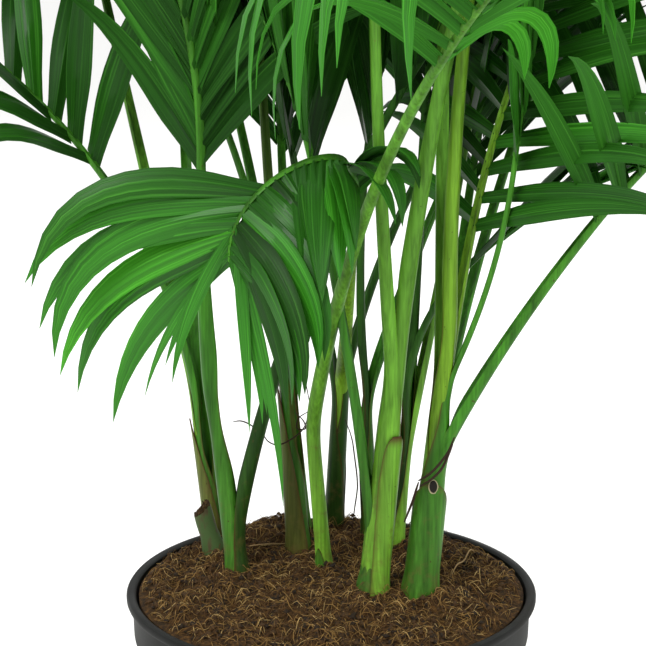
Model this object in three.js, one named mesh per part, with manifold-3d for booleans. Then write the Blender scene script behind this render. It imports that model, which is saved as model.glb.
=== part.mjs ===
// Potted cat palm: a clump of cane-like stems with arching fronds, in a nursery pot.
// Millimetres, +Z up. The origin is the middle of the pot's flat underside.
import * as THREE from "three";
import { mergeVertices } from "three/addons/utils/BufferGeometryUtils.js";
import Module from "manifold-3d";

const wasm = await Module();
wasm.setup();

// Clearance between pieces that touch
const GAP = 0.3;

// Pot
const POT = {
  height: 235,
  footRadius: 95,
  wallTopRadius: 115.5,
  bandRadius: 120.5,
  bandHeight: 24,
  rimRadius: 125,
  rimHeight: 5,
  wall: 2.5,
  floor: 4,
  footRound: 3,
  sides: 40,
};
const DRAIN = { count: 6, radius: 6, circle: 74, sides: 8 };

// Growing medium, heaped towards the middle
const SOIL = {
  edge: 231,
  crown: 240,
  radius: 117.2,
  power: 5,
  rings: [34, 62, 86, 104, 117.2],
  sides: 32,
  bumps: 1.1,
};

// Canes: foot, lean (degrees from upright, towards an azimuth), height and radii
const CANE_SUNK = 8;
const CANE_FLARE = 1.12;
const CANES = {
  a: { x: -73, y: 77, towards: 145, lean: 9, height: 95, foot: 8, top: 6.5 },
  b: { x: -58, y: 10, towards: 152, lean: 7.5, height: 100, foot: 7.5, top: 6 },
  c: { x: -20, y: 48, towards: 144, lean: 4.5, height: 95, foot: 8, top: 6.5 },
  d: { x: -4, y: 16, towards: 195, lean: 5, height: 80, foot: 5, top: 4.4 },
  e: { x: 2, y: 102, towards: 0, lean: 3, height: 100, foot: 7, top: 6 },
  f: { x: 24, y: -27, towards: 24, lean: 6, height: 160, foot: 9.5, top: 7.5 },
  g: { x: 42, y: 57, towards: 41, lean: 5.5, height: 85, foot: 5, top: 4.5 },
  h: { x: 53, y: -26, towards: 26, lean: 6, height: 155, foot: 10, top: 8 },
  i: { x: 26, y: 78, towards: 151, lean: 3.5, height: 90, foot: 6, top: 5 },
  q: { x: -18, y: 86, towards: 153, lean: 6, height: 90, foot: 6, top: 5 },
  r: { x: 60, y: 80, towards: 30, lean: 9, height: 90, foot: 6, top: 5 },
};

// A cane cut off short beside the left one
const STUB = { x: -74, y: 50, towards: 180, lean: 15, height: 31, foot: 5.5, top: 4.5 };

// Leaves. Each leaves its cane at height up, rises at an angle, bows over its stalk
// and arches over its blade. A whole leaf is one piece, the others part at the bend.
const LEAVES = [
  { cane: "e", no: 1, up: 85, azimuth: 273, rise: 41.5, bow: -15.9, stalk: 200, blade: 150, arch: 151,
    pairs: 18, hook: 0.88, sweep: -110.7, roll: -74, weep: 0.92, leaflet: 150, open: 42, closing: -0.5,
    lift: 26, lean: -12, wide: 1.05, fall: 0.6, peak: 0.9, bare: 0.69, leftBack: 35,
    leftReach: 0.68 },
  { cane: "a", no: 1, up: 60, azimuth: 172, rise: 88, bow: 35, stalk: 198, blade: 260, arch: 38,
    weep: 0.6, open: 52, lift: 44, skew: 56, wide: 1.1 },
  { cane: "h", no: 4, up: 65, azimuth: 3, rise: 64, bow: 12, stalk: 183, blade: 270, arch: 35, open: 70,
    lift: 58, wide: 0.8, thick: 1.3 },
  { cane: "g", no: 1, up: 58, azimuth: -10, rise: 105, bow: 58, stalk: 133, blade: 240, arch: 53,
    open: 26, lift: 12 },
  { cane: "h", no: 3, up: 56, azimuth: 39, rise: 83, bow: 7, stalk: 160, blade: 280, arch: 30, pairs: 11,
    open: 72, closing: 0.2, lift: -10, wide: 0.75 },
  { cane: "d", no: 1, up: 72, azimuth: 290, rise: 70, bow: 33.6, stalk: 325, blade: 230, arch: 20,
    weep: 1.1, leaflet: 195, open: 68, fall: 2.2, leftReach: 0.5 },
  { cane: "b", no: 1, up: 90, azimuth: 205, rise: 83, bow: -8, stalk: 160, blade: 280, arch: 40, open: 34,
    lift: 16, lean: -45, thick: 1.2, stout: 1.4, whole: true },
  { cane: "h", no: 5, up: 105, azimuth: -4, rise: 61, bow: -23, stalk: 160, blade: 240, arch: 5,
    leaflet: 105, open: 24, lift: 20, thick: 0.8, stout: 0.65, whole: true },
  { cane: "f", no: 2, up: 110, azimuth: 237, rise: 80, bow: -8, stalk: 280, blade: 260, arch: 75 },
  { cane: "f", no: 3, up: 150, azimuth: 322, rise: 82, bow: 8, stalk: 270, blade: 260, arch: 65,
    thick: 1.3 },
  { cane: "h", no: 2, up: 145, azimuth: 313, rise: 92, bow: 13, stalk: 280, blade: 260, arch: 75,
    thick: 1.1 },
  { cane: "a", no: 2, up: 80, azimuth: 132, rise: 69, bow: -2, stalk: 300, blade: 250, arch: 40,
    whole: true },
  { cane: "a", no: 3, up: 85, azimuth: 100, rise: 76, bow: 8, stalk: 290, blade: 250, arch: 65,
    sweep: 15 },
  { cane: "c", no: 1, up: 80, azimuth: 188, rise: 87, bow: 18.4, stalk: 215, blade: 270, arch: 51,
    open: 48 },
  { cane: "e", no: 3, up: 80, azimuth: 8, rise: 79, bow: 19.3, stalk: 200, blade: 270, arch: 55,
    open: 36 },
  { cane: "b", no: 2, up: 6, azimuth: 2, rise: 80, bow: 19, stalk: 300, blade: 250, arch: 40, thick: 1.2,
    stout: 1.35, whole: true },
  { cane: "q", no: 1, up: 80, azimuth: 125, rise: 76, bow: 8.9, stalk: 200, blade: 270, arch: 68,
    open: 40 },
  { cane: "q", no: 2, up: 60, azimuth: 95, rise: 68, bow: 11.2, stalk: 200, blade: 260, arch: 63,
    open: 42 },
  { cane: "r", no: 1, up: 80, azimuth: 50, rise: 70, bow: 10, stalk: 200, blade: 270, arch: 64,
    open: 42 },
  { cane: "r", no: 2, up: 60, azimuth: 75, rise: 62, bow: 10, stalk: 190, blade: 260, arch: 62,
    open: 42 },
  { cane: "i", no: 2, up: 70, azimuth: 30, rise: 71, bow: 10, stalk: 200, blade: 270, arch: 69,
    open: 40 },
  { cane: "i", no: 1, up: 80, azimuth: 5, rise: 96, bow: 11.3, stalk: 170, blade: 280, arch: 44, open: 30,
    whole: true },
  { cane: "g", no: 2, up: 45, azimuth: 21, rise: 77, bow: -3.2, stalk: 230, blade: 260, arch: 36,
    open: 40, whole: true },
  { cane: "g", no: 3, up: 75, azimuth: 60, rise: 84, bow: 0, stalk: 200, blade: 270, arch: 30, open: 36,
    whole: true },
  { cane: "e", no: 2, up: 70, azimuth: 160, rise: 77, bow: -2.4, stalk: 175, blade: 280, arch: 42,
    open: 32, whole: true },
  { cane: "f", no: 1, up: 8, azimuth: 172, rise: 84, bow: 5.8, stalk: 250, blade: 260, arch: 36, open: 34,
    thick: 1.1, whole: true },
  { cane: "c", no: 2, up: 30, azimuth: 132, rise: 81, bow: -4.3, stalk: 257, blade: 260, arch: 26,
    open: 40, whole: true },
  { cane: "h", no: 1, up: 110, azimuth: 95, rise: 84, bow: -1, stalk: 290, blade: 260, arch: 30,
    thick: 1.1, whole: true },
];
const LEAF_DEFAULTS = {
  pairs: 9,
  hook: 1,
  sweep: 0,
  roll: 0,
  weep: 0.4,
  leaflet: 165,
  open: 50,
  closing: 0.45,
  lift: 30,
  skew: 0,
  lean: 0,
  wide: 1,
  fall: 0.8,
  peak: 0.4,
  bare: 0,
  leftBack: 0,
  leftReach: 1,
  thick: 1,
  stout: 1,
  whole: false,
};

// Growth rule
const COLLAR = 40;
const STEP = 5;
const STALK = { foot: 5.2, end: 2.8, taper: 0.6, sides: 6, ring: 52, overlap: 3 };
const RACHIS = { start: 2.6, end: 1.1 };
const LEAFLETS = {
  firstAt: 10,
  lastShort: 9,
  footHalf: 6.5,
  flattening: 0.6,
  halfWidth: 8.2,
  halfThick: 1.2,
  weepPower: 1.5,
  spread: 6,
};
const TRIES = [
  { length: 1, turn: 0, lift: 0 },
  { length: 1, turn: -7, lift: 12 },
  { length: 1, turn: 7, lift: -14 },
  { length: 0.8, turn: 0, lift: 0 },
  { length: 0.7, turn: -9, lift: 16 },
  { length: 0.6, turn: 6, lift: -10 },
];

const rad = THREE.MathUtils.degToRad;
const UP = new THREE.Vector3(0, 0, 1);

/** A number from 0 to 1 that only depends on the two numbers given. */
function noise(i, j) {
  const value = Math.sin(i * 12.9898 + j * 78.233) * 43758.5453;
  return value - Math.floor(value);
}

/** Eases from 0 at low to 1 at high. */
function smooth(value, low, high) {
  const part = Math.min(1, Math.max(0, (value - low) / (high - low)));
  return part * part * (3 - 2 * part);
}

/** The unit vector at an azimuth and an elevation in degrees. */
function direction(azimuth, elevation) {
  const across = Math.cos(rad(elevation));
  return new THREE.Vector3(
    across * Math.cos(rad(azimuth)),
    across * Math.sin(rad(azimuth)),
    Math.sin(rad(elevation)),
  );
}

/** Height of the growing medium. */
function groundHeight(x, y) {
  const out = Math.min(1, Math.hypot(x, y) / SOIL.radius);
  return SOIL.edge + (SOIL.crown - SOIL.edge) * (1 - out ** SOIL.power);
}

// Solids

/** A closed solid from a list of points and a list of triangles. */
function solidOf(points, triangles) {
  const vertProperties = new Float32Array(points.flatMap((p) => [p.x, p.y, p.z]));
  const triVerts = new Uint32Array(triangles.flat());
  return new wasm.Manifold(new wasm.Mesh({ numProp: 3, vertProperties, triVerts }));
}

/** A closed solid from a three.js geometry. */
function solidFrom(geometry) {
  const bare = geometry.index ? geometry.toNonIndexed() : geometry.clone();
  bare.deleteAttribute("normal");
  bare.deleteAttribute("uv");
  const merged = mergeVertices(bare, 1e-4);
  return new wasm.Manifold(new wasm.Mesh({
    numProp: 3,
    vertProperties: new Float32Array(merged.attributes.position.array),
    triVerts: new Uint32Array(merged.index.array),
  }));
}

/** The largest separate piece of a solid. */
function largestPiece(solid) {
  const pieces = solid.decompose();
  return pieces.reduce((best, piece) => (piece.volume() > best.volume() ? piece : best));
}

/** A three.js geometry from a solid. */
function geometryOf(solid) {
  const mesh = solid.getMesh();
  const geometry = new THREE.BufferGeometry();
  geometry.setAttribute("position", new THREE.BufferAttribute(new Float32Array(mesh.vertProperties), 3));
  geometry.setIndex(new THREE.BufferAttribute(new Uint32Array(mesh.triVerts), 1));
  geometry.computeVertexNormals();
  return geometry;
}

/** A closed tube through rings of the same number of points, capped at both ends. */
function ringSolid(rings) {
  const sides = rings[0].length;
  const points = rings.flat();
  const triangles = [];
  for (let r = 0; r + 1 < rings.length; r += 1) {
    for (let s = 0; s < sides; s += 1) {
      const a = r * sides + s;
      const b = r * sides + ((s + 1) % sides);
      triangles.push([a, b, b + sides], [a, b + sides, a + sides]);
    }
  }
  const last = (rings.length - 1) * sides;
  for (let s = 1; s + 1 < sides; s += 1) {
    triangles.push([0, s + 1, s], [last, last + s, last + s + 1]);
  }
  return solidOf(points, triangles);
}

/** Points of a round ring about a centre, seen along its axis. */
function roundRing(centre, axis, radius, sides) {
  const across = new THREE.Vector3(1, 0, 0).cross(axis).normalize();
  const along = new THREE.Vector3().crossVectors(axis, across).normalize();
  return Array.from({ length: sides }, (_, s) => {
    const turn = (2 * Math.PI * s) / sides;
    return centre.clone()
      .addScaledVector(across, radius * Math.cos(turn))
      .addScaledVector(along, radius * Math.sin(turn));
  });
}

// Pot and growing medium

/** Closed outline of the pot's wall, floor and rim, as radius and height. */
function potProfile() {
  const bandFoot = POT.height - POT.rimHeight - POT.bandHeight;
  const rimFoot = POT.height - POT.rimHeight;
  const inner = POT.wallTopRadius - POT.wall;
  return [
    [0, 0],
    [POT.footRadius - POT.footRound, 0],
    [POT.footRadius, POT.footRound],
    [POT.wallTopRadius, bandFoot - 3],
    [POT.bandRadius, bandFoot],
    [POT.bandRadius + 1, rimFoot],
    [POT.rimRadius, rimFoot],
    [POT.rimRadius, POT.height - 1.2],
    [POT.rimRadius - 1.2, POT.height],
    [POT.bandRadius - POT.wall + 1, POT.height],
    [POT.bandRadius - POT.wall, bandFoot + 1.5],
    [inner, bandFoot - 1.5],
    [POT.footRadius - POT.wall, POT.floor],
    [0, POT.floor],
  ];
}

/** A closed turned solid about the vertical axis. */
function turned(profile, sides) {
  const points = profile.map(([r, z]) => new THREE.Vector2(r, z));
  const geometry = new THREE.LatheGeometry(points, sides);
  geometry.rotateX(Math.PI / 2);
  return solidFrom(geometry);
}

/** The pot with its drain holes. */
function potSolid() {
  let pot = turned(potProfile(), POT.sides);
  for (let n = 0; n < DRAIN.count; n += 1) {
    const turn = (2 * Math.PI * (n + 0.5)) / DRAIN.count;
    const hole = new THREE.CylinderGeometry(DRAIN.radius, DRAIN.radius, 4 * POT.floor, DRAIN.sides);
    hole.rotateX(Math.PI / 2);
    hole.translate(DRAIN.circle * Math.cos(turn), DRAIN.circle * Math.sin(turn), 0);
    pot = pot.subtract(solidFrom(hole));
  }
  return pot;
}

/** The growing medium that fills the pot, with a heaped, slightly uneven top. */
function soilSolid() {
  const inner = POT.wallTopRadius - POT.wall;
  const bandFoot = POT.height - POT.rimHeight - POT.bandHeight;
  const around = Array.from({ length: SOIL.sides }, (_, s) => (2 * Math.PI * s) / SOIL.sides);
  const fit = Math.cos(Math.PI / POT.sides);
  const wallRings = [
    [(POT.footRadius - POT.wall) * fit - GAP, POT.floor + GAP],
    [inner * fit - GAP, bandFoot - 1.5],
    [SOIL.radius * fit - GAP, bandFoot + 2.5],
  ];
  const rings = wallRings.map(([r, z]) => around.map(
    (turn) => new THREE.Vector3(r * Math.cos(turn), r * Math.sin(turn), z),
  ));
  [...SOIL.rings].reverse().forEach((radius, n) => {
    const r = Math.min(radius, SOIL.radius * fit - GAP);
    rings.push(around.map((turn, s) => {
      const x = r * Math.cos(turn);
      const y = r * Math.sin(turn);
      const rough = SOIL.bumps * (2 * noise(n + 3, s + 5) - 1);
      return new THREE.Vector3(x, y, groundHeight(x, y) + rough);
    }));
  });
  return ringSolid(rings);
}

// Canes

/** Where a cane stands and the direction that it leans in. */
function caneLine(cane) {
  return {
    foot: new THREE.Vector3(cane.x, cane.y, groundHeight(cane.x, cane.y)),
    axis: direction(cane.towards, 90 - cane.lean),
  };
}

/** A tapering cane with a flared foot, sunk a little into the growing medium. */
function caneSolid(cane, extra, sides) {
  const { foot, axis } = caneLine(cane);
  const heights = [-CANE_SUNK, 2, 0.18 * cane.height, 0.55 * cane.height, cane.height];
  const rings = heights.map((height, n) => {
    const part = Math.max(0, height) / cane.height;
    const flare = n < 2 ? CANE_FLARE : 1;
    const radius = (cane.foot + (cane.top - cane.foot) * part) * flare + extra;
    return roundRing(foot.clone().addScaledVector(axis, height), axis, radius, sides);
  });
  return ringSolid(rings);
}

// Leaves

/** The line that a leaf's stalk and rib follow, with its frame at each step. */
function leafLine(leaf) {
  const { foot, axis } = caneLine(CANES[leaf.cane]);
  const total = leaf.stalk + leaf.blade;
  const count = Math.round(total / STEP);
  const step = total / count;
  const point = foot.clone().addScaledVector(axis, leaf.up);
  const line = [];
  for (let n = 0; n <= count; n += 1) {
    const along = (n + 0.5) * step;
    const over = Math.min(1, Math.max(0, (along - leaf.stalk) / leaf.blade));
    const elevation = leaf.rise - leaf.bow * Math.min(1, along / leaf.stalk)
      - leaf.arch * (1 - (1 - over) ** leaf.hook);
    const azimuth = leaf.azimuth + leaf.sweep * over;
    const free = smooth(along, 0, COLLAR);
    const tangent = axis.clone().multiplyScalar(1 - free)
      .addScaledVector(direction(azimuth, elevation), free).normalize();
    line.push({ point: point.clone(), tangent, azimuth });
    point.addScaledVector(tangent, step);
  }
  return { leaf, line, step };
}

/** Point and frame at a distance along a leaf's line. */
function frameAt(leafPath, along) {
  const { leaf, line, step } = leafPath;
  const place = Math.min(line.length - 1.001, Math.max(0, along / step));
  const n = Math.floor(place);
  const part = place - n;
  const point = line[n].point.clone().lerp(line[n + 1].point, part);
  const tangent = line[n].tangent.clone().lerp(line[n + 1].tangent, part).normalize();
  const azimuth = rad(line[n].azimuth);
  const side = new THREE.Vector3(Math.sin(azimuth), -Math.cos(azimuth), 0);
  side.addScaledVector(tangent, -side.dot(tangent)).normalize();
  const face = new THREE.Vector3().crossVectors(side, tangent);
  const roll = rad(leaf.roll) * smooth((along - leaf.stalk) / leaf.blade, 0, 0.4);
  side.applyAxisAngle(tangent, roll);
  face.applyAxisAngle(tangent, roll);
  return { point, tangent, side, face };
}

/** Radius of a leaf's stalk at a part of its length. */
function stalkRadius(leaf, part) {
  const foot = STALK.foot * leaf.stout;
  return leaf.thick * (foot + (STALK.end - foot) * part ** STALK.taper);
}

/** The stalk, from inside its cane to the foot of the blade. */
function stalkSolid(leaf, leafPath, extra, length) {
  const count = Math.max(3, Math.round(length / STALK.ring));
  const rings = Array.from({ length: count + 1 }, (_, n) => {
    const along = (length * n) / count;
    const frame = frameAt(leafPath, along);
    const radius = stalkRadius(leaf, Math.min(1, along / leaf.stalk)) + extra;
    return roundRing(frame.point, frame.tangent, radius, STALK.sides);
  });
  return ringSolid(rings);
}

/** The leaflet that stands out from one side of the rib between two places. */
function leafletShape(leaf, leafPath, seed, place, hand, attempt) {
  const frame = frameAt(leafPath, leaf.stalk + place * leaf.blade);
  const jitter = (n) => 2 * noise(seed, n) - 1;
  const back = hand < 0 ? leaf.leftBack * Math.max(0, 1 - ((place - 0.7) / 0.2) ** 2) : 0;
  const angle = rad(leaf.open * (1 - leaf.closing * place) + back
    + LEAFLETS.spread * jitter(1) + attempt.turn);
  const lift = rad(leaf.lift * (1 - LEAFLETS.flattening * place)
    + hand * (leaf.skew * (1 - place) ** 4 + leaf.lean)
    + LEAFLETS.spread * jitter(2) + attempt.lift);
  const reach = leaf.leaflet * (hand < 0 ? leaf.leftReach : 1) * attempt.length
    * (1 + 0.06 * jitter(3)) * (1 - leaf.fall * (place - leaf.peak) ** 2);
  const outward = frame.side.clone().multiplyScalar(hand * Math.cos(lift))
    .addScaledVector(frame.face, Math.sin(lift));
  const start = frame.tangent.clone().multiplyScalar(Math.cos(angle))
    .addScaledVector(outward, Math.sin(angle));
  const weep = leaf.weep * (1 + 0.25 * jitter(4));
  const droop = (part) => {
    const pull = weep * part ** LEAFLETS.weepPower;
    return start.clone().multiplyScalar(1 - pull).addScaledVector(UP, -pull).normalize();
  };
  const steps = 8;
  const point = frame.point.clone();
  let middle = point;
  for (let n = 0; n < steps; n += 1) {
    point.addScaledVector(droop((n + 0.5) / steps), reach / steps);
    if (n === steps / 2 - 1) {
      middle = point.clone();
    }
  }
  const heading = droop(0.5);
  const width = frame.tangent.clone()
    .addScaledVector(heading, -heading.dot(frame.tangent)).normalize();
  const thickness = new THREE.Vector3().crossVectors(heading, width).multiplyScalar(hand);
  const spacing = leaf.blade / leaf.pairs;
  const halfWidth = Math.min(LEAFLETS.halfWidth * leaf.wide, 0.4 * spacing * Math.sin(angle) + 1.2);
  return { middle, tip: point, width, thickness, halfWidth };
}

/** The four points round a leaflet's widest place, in step with its foot. */
function leafletMiddle(shape, hand, extra) {
  const at = (w, t) => shape.middle.clone()
    .addScaledVector(shape.width, w * (shape.halfWidth + extra))
    .addScaledVector(shape.thickness, t * (LEAFLETS.halfThick + extra));
  return hand > 0
    ? [at(-1, -1), at(1, -1), at(1, 1), at(-1, 1)]
    : [at(1, -1), at(-1, -1), at(-1, 1), at(1, 1)];
}

/** The rib's places: each leaflet's foot, and the bare stretches between them. */
function ribStations(leaf) {
  const half = Math.min(LEAFLETS.footHalf, 0.32 * (leaf.blade / leaf.pairs)) / leaf.blade;
  const first = LEAFLETS.firstAt / leaf.blade;
  const last = 1 - LEAFLETS.lastShort / leaf.blade;
  const stations = [{ place: 0, pair: null }];
  for (let n = 0; n < leaf.pairs; n += 1) {
    const part = n / (leaf.pairs - 1);
    const place = first + (last - first) * part;
    stations.push({ place: place - half, pair: n, middle: place, bare: part < leaf.bare });
    stations.push({ place: place + half, pair: null });
  }
  stations.push({ place: 1, pair: null });
  return stations;
}

/** The four corners of the rib at a place: top right, top left, foot left, foot right. */
function ribCorners(leaf, leafPath, place, shift) {
  const frame = frameAt(leafPath, leaf.stalk + place * leaf.blade + shift);
  const half = leaf.thick * (RACHIS.start + (RACHIS.end - RACHIS.start) * Math.max(0, place));
  const at = (s, f) => frame.point.clone()
    .addScaledVector(frame.side, s * half * 0.85).addScaledVector(frame.face, f * half);
  return [at(1, 1), at(-1, 1), at(-1, -1), at(1, -1)];
}

/** Foot corners of a leaflet on the right (hand 1) or left of the rib. */
function footCorners(corners, next, hand) {
  return hand > 0
    ? [corners[3], next[3], next[0], corners[0]]
    : [next[2], corners[2], corners[1], next[1]];
}

/** A leaflet as a solid of its own, a little larger, to try its space. */
function leafletTrial(foot, shape, hand) {
  const middle = leafletMiddle(shape, hand, GAP + 0.15);
  const heading = shape.tip.clone().sub(shape.middle).normalize();
  const tip = shape.tip.clone().addScaledVector(heading, 1);
  return ringSolidToTip(foot, middle, tip);
}

/** A closed four-sided solid from a foot, round a middle, to a point. */
function ringSolidToTip(foot, middle, tip) {
  const triangles = [[0, 2, 1], [0, 3, 2]];
  for (let s = 0; s < 4; s += 1) {
    const t = (s + 1) % 4;
    triangles.push([s, t, 4 + t], [s, 4 + t, 4 + s], [4 + s, 4 + t, 8]);
  }
  return solidOf([...foot, ...middle, tip], triangles);
}

// Space: everything that a leaflet has to stay clear of

const taken = [];

function boxesMeet(a, b) {
  return [0, 1, 2].every((k) => a.min[k] <= b.max[k] && b.min[k] <= a.max[k]);
}

function take(owner, solid) {
  taken.push({ owner, solid, box: solid.boundingBox() });
}

function isClear(owner, solid) {
  const box = solid.boundingBox();
  return taken.every((other) => other.owner === owner
    || !boxesMeet(box, other.box)
    || other.solid.intersect(solid).volume() < 1e-4);
}

/** The leaflets that find room, tried in a few attitudes, then shorter. */
function chooseLeaflets(leaf, leafPath, number, shift) {
  const stations = ribStations(leaf);
  const chosen = new Map();
  stations.forEach((station, n) => {
    if (station.pair === null) {
      return;
    }
    const corners = ribCorners(leaf, leafPath, station.place, shift);
    const next = ribCorners(leaf, leafPath, stations[n + 1].place, shift);
    for (const hand of station.bare ? [-1] : [1, -1]) {
      const seed = number * 40 + station.pair * 2 + (hand > 0 ? 1 : 0);
      const foot = footCorners(corners, next, hand);
      for (const attempt of TRIES) {
        const shape = leafletShape(leaf, leafPath, seed, station.middle, hand, attempt);
        const trial = leafletTrial(foot, shape, hand);
        if (isClear(`rib ${number}`, trial)) {
          take(`leaflet ${number} ${n} ${hand}`, trial);
          chosen.set(`${n} ${hand}`, shape);
          break;
        }
      }
    }
  });
  return { stations, chosen };
}

/** The blade: a four-sided rib whose sides open into leaflets. */
function bladeSolid(leaf, leafPath, number, shift) {
  const { stations, chosen } = chooseLeaflets(leaf, leafPath, number, shift);
  const points = [];
  const triangles = [];
  const quad = (a, b, c, d) => triangles.push([a, b, c], [a, c, d]);
  const rings = stations.map((station) => {
    const first = points.length;
    points.push(...ribCorners(leaf, leafPath, station.place, shift));
    return [first, first + 1, first + 2, first + 3];
  });
  quad(rings[0][2], rings[0][3], rings[0][0], rings[0][1]);
  for (let n = 0; n + 1 < rings.length; n += 1) {
    const here = rings[n];
    const next = rings[n + 1];
    quad(here[1], here[0], next[0], next[1]);
    quad(here[3], here[2], next[2], next[3]);
    for (const hand of [1, -1]) {
      const foot = footCorners(here, next, hand);
      const shape = chosen.get(`${n} ${hand}`);
      if (!shape) {
        quad(...foot);
        continue;
      }
      const first = points.length;
      points.push(...leafletMiddle(shape, hand, 0), shape.tip);
      for (let s = 0; s < 4; s += 1) {
        const t = (s + 1) % 4;
        quad(foot[s], foot[t], first + t, first + s);
        triangles.push([first + s, first + t, first + 4]);
      }
    }
  }
  const end = rings.at(-1);
  quad(end[1], end[0], end[3], end[2]);
  return solidOf(points, triangles);
}

// Assembly

const MATERIALS = {
  pot: new THREE.MeshStandardMaterial({ color: "#23241c", roughness: 0.55, metalness: 0 }),
  soil: new THREE.MeshStandardMaterial({ color: "#473818", roughness: 0.95, metalness: 0 }),
  cane: new THREE.MeshStandardMaterial({ color: "#4f7a2a", roughness: 0.5, metalness: 0 }),
  stub: new THREE.MeshStandardMaterial({ color: "#4c4a26", roughness: 0.8, metalness: 0 }),
  stalk: new THREE.MeshStandardMaterial({ color: "#4c771d", roughness: 0.45, metalness: 0 }),
  frond: new THREE.MeshStandardMaterial({ color: "#3e7323", roughness: 0.5, metalness: 0 }),
};

const plant = new THREE.Group();

function addPiece(name, solid, material) {
  const mesh = new THREE.Mesh(geometryOf(solid), material);
  mesh.name = name;
  plant.add(mesh);
}

const caneNames = Object.keys(CANES);
const cutters = caneNames.map((name) => caneSolid(CANES[name], GAP, 10));
const stubCutter = caneSolid(STUB, GAP, 8);
let soil = soilSolid();
for (const cutter of [...cutters, stubCutter]) {
  soil = soil.subtract(cutter);
}
addPiece("pot", potSolid(), MATERIALS.pot);
addPiece("growing_medium", largestPiece(soil), MATERIALS.soil);
addPiece("cut_stub", caneSolid(STUB, 0, 8), MATERIALS.stub);
caneNames.forEach((name) => {
  addPiece(`cane_${name}`, caneSolid(CANES[name], 0, 10), MATERIALS.cane);
});

const leaves = LEAVES.map((given, number) => {
  const leaf = { ...LEAF_DEFAULTS, ...given };
  return { leaf, number, path: leafLine(leaf), name: `${leaf.cane}${leaf.no}` };
});

// Stalks are cut clear of the canes and of the stalks made before them
const guards = [...cutters, stubCutter, soil].map((solid) => ({ solid, box: solid.boundingBox() }));
for (const entry of leaves) {
  const { leaf, path } = entry;
  const length = leaf.stalk + (leaf.whole ? STALK.overlap : 0);
  let stalk = stalkSolid(leaf, path, 0, length);
  const box = stalk.boundingBox();
  for (const guard of guards) {
    if (boxesMeet(box, guard.box)) {
      stalk = stalk.subtract(guard.solid);
    }
  }
  entry.stalk = largestPiece(stalk);
  const guard = stalkSolid(leaf, path, GAP, length);
  guards.push({ solid: guard, box: guard.boundingBox() });
}

// Everything solid is taken before the first leaflet looks for room
cutters.forEach((solid) => take("cane", solid));
take("cut stub", stubCutter);
take("growing medium", soil);
take("pot", turned(potProfile(), POT.sides));
for (const { leaf, number, path } of leaves) {
  take(`stalk ${number}`, stalkSolid(leaf, path, GAP, leaf.stalk));
  const rings = ribStations(leaf).map(({ place }) => {
    const frame = frameAt(path, leaf.stalk + place * leaf.blade);
    const half = leaf.thick * (RACHIS.start + (RACHIS.end - RACHIS.start) * Math.max(0, place));
    return roundRing(frame.point, frame.tangent, half * 1.4 + GAP, 6);
  });
  take(`rib ${number}`, ringSolid(rings));
}

for (const entry of leaves) {
  const { leaf, number, path, name } = entry;
  const blade = bladeSolid(leaf, path, number, leaf.whole ? 0 : GAP);
  if (leaf.whole) {
    addPiece(`frond_${name}`, largestPiece(entry.stalk.add(blade)), MATERIALS.frond);
  } else {
    addPiece(`stalk_${name}`, entry.stalk, MATERIALS.stalk);
    addPiece(`frond_${name}`, blade, MATERIALS.frond);
  }
}

export default plant;
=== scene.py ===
"""Looks of a potted cat palm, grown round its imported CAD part.

The canes, stalks and fronds follow the same growth rule as the part's source: every leaf leaves
its cane at a height, rises at an angle, bows over its stalk and arches over its blade. Here each
stalk keeps the sheath that wraps its cane, and each blade has its full count of leaflets.
"""

from __future__ import annotations

import logging
import math
from dataclasses import dataclass, field, replace
from enum import Enum

import bpy
import numpy as np
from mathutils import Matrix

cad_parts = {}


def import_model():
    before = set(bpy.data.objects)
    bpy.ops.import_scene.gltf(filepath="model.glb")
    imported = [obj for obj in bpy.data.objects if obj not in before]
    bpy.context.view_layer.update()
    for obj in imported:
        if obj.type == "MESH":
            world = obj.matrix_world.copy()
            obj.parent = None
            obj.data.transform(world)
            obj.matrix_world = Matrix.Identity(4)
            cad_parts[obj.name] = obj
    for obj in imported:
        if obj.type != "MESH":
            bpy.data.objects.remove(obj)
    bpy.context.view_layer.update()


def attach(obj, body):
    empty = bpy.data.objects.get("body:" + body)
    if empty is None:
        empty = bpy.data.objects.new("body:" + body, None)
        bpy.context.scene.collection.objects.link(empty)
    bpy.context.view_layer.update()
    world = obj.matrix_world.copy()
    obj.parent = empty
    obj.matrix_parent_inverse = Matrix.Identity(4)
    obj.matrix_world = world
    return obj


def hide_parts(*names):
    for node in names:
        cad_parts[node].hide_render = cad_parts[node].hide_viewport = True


LOG = logging.getLogger("cat_palm")
MM = 0.001
UP = np.array([0.0, 0.0, 1.0])

# Factors of the noise, as in the part's source
NOISE_STEPS = (12.9898, 78.233)
NOISE_SPREAD = 43758.5453

# Height over a cane's foot at which the stems' "rise" value is 1, in millimetres
RISE_SPAN = 400.0

# How many seeds each leaf keeps for its own leaflets
LEAF_SEEDS = 40


def noise(i: float, j: float) -> float:
    """Give a number from 0 to 1 that depends only on two numbers.

    Args:
        i: First number.
        j: Second number.

    Returns:
        The same number as the part's source gives for the same pair.
    """
    value = math.sin(i * NOISE_STEPS[0] + j * NOISE_STEPS[1]) * NOISE_SPREAD
    return value - math.floor(value)


def direction(azimuth: float, elevation: float) -> np.ndarray:
    """Give the unit vector at an azimuth and an elevation.

    Args:
        azimuth: Degrees from +X towards +Y.
        elevation: Degrees above level.

    Returns:
        The unit vector.
    """
    across = math.cos(math.radians(elevation))
    turn = math.radians(azimuth)
    return np.array(
        [across * math.cos(turn), across * math.sin(turn), math.sin(math.radians(elevation))]
    )


def unit(rows: np.ndarray) -> np.ndarray:
    """Scale vectors to length one, along the last axis."""
    return rows / np.maximum(np.linalg.norm(rows, axis=-1, keepdims=True), 1e-9)


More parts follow.
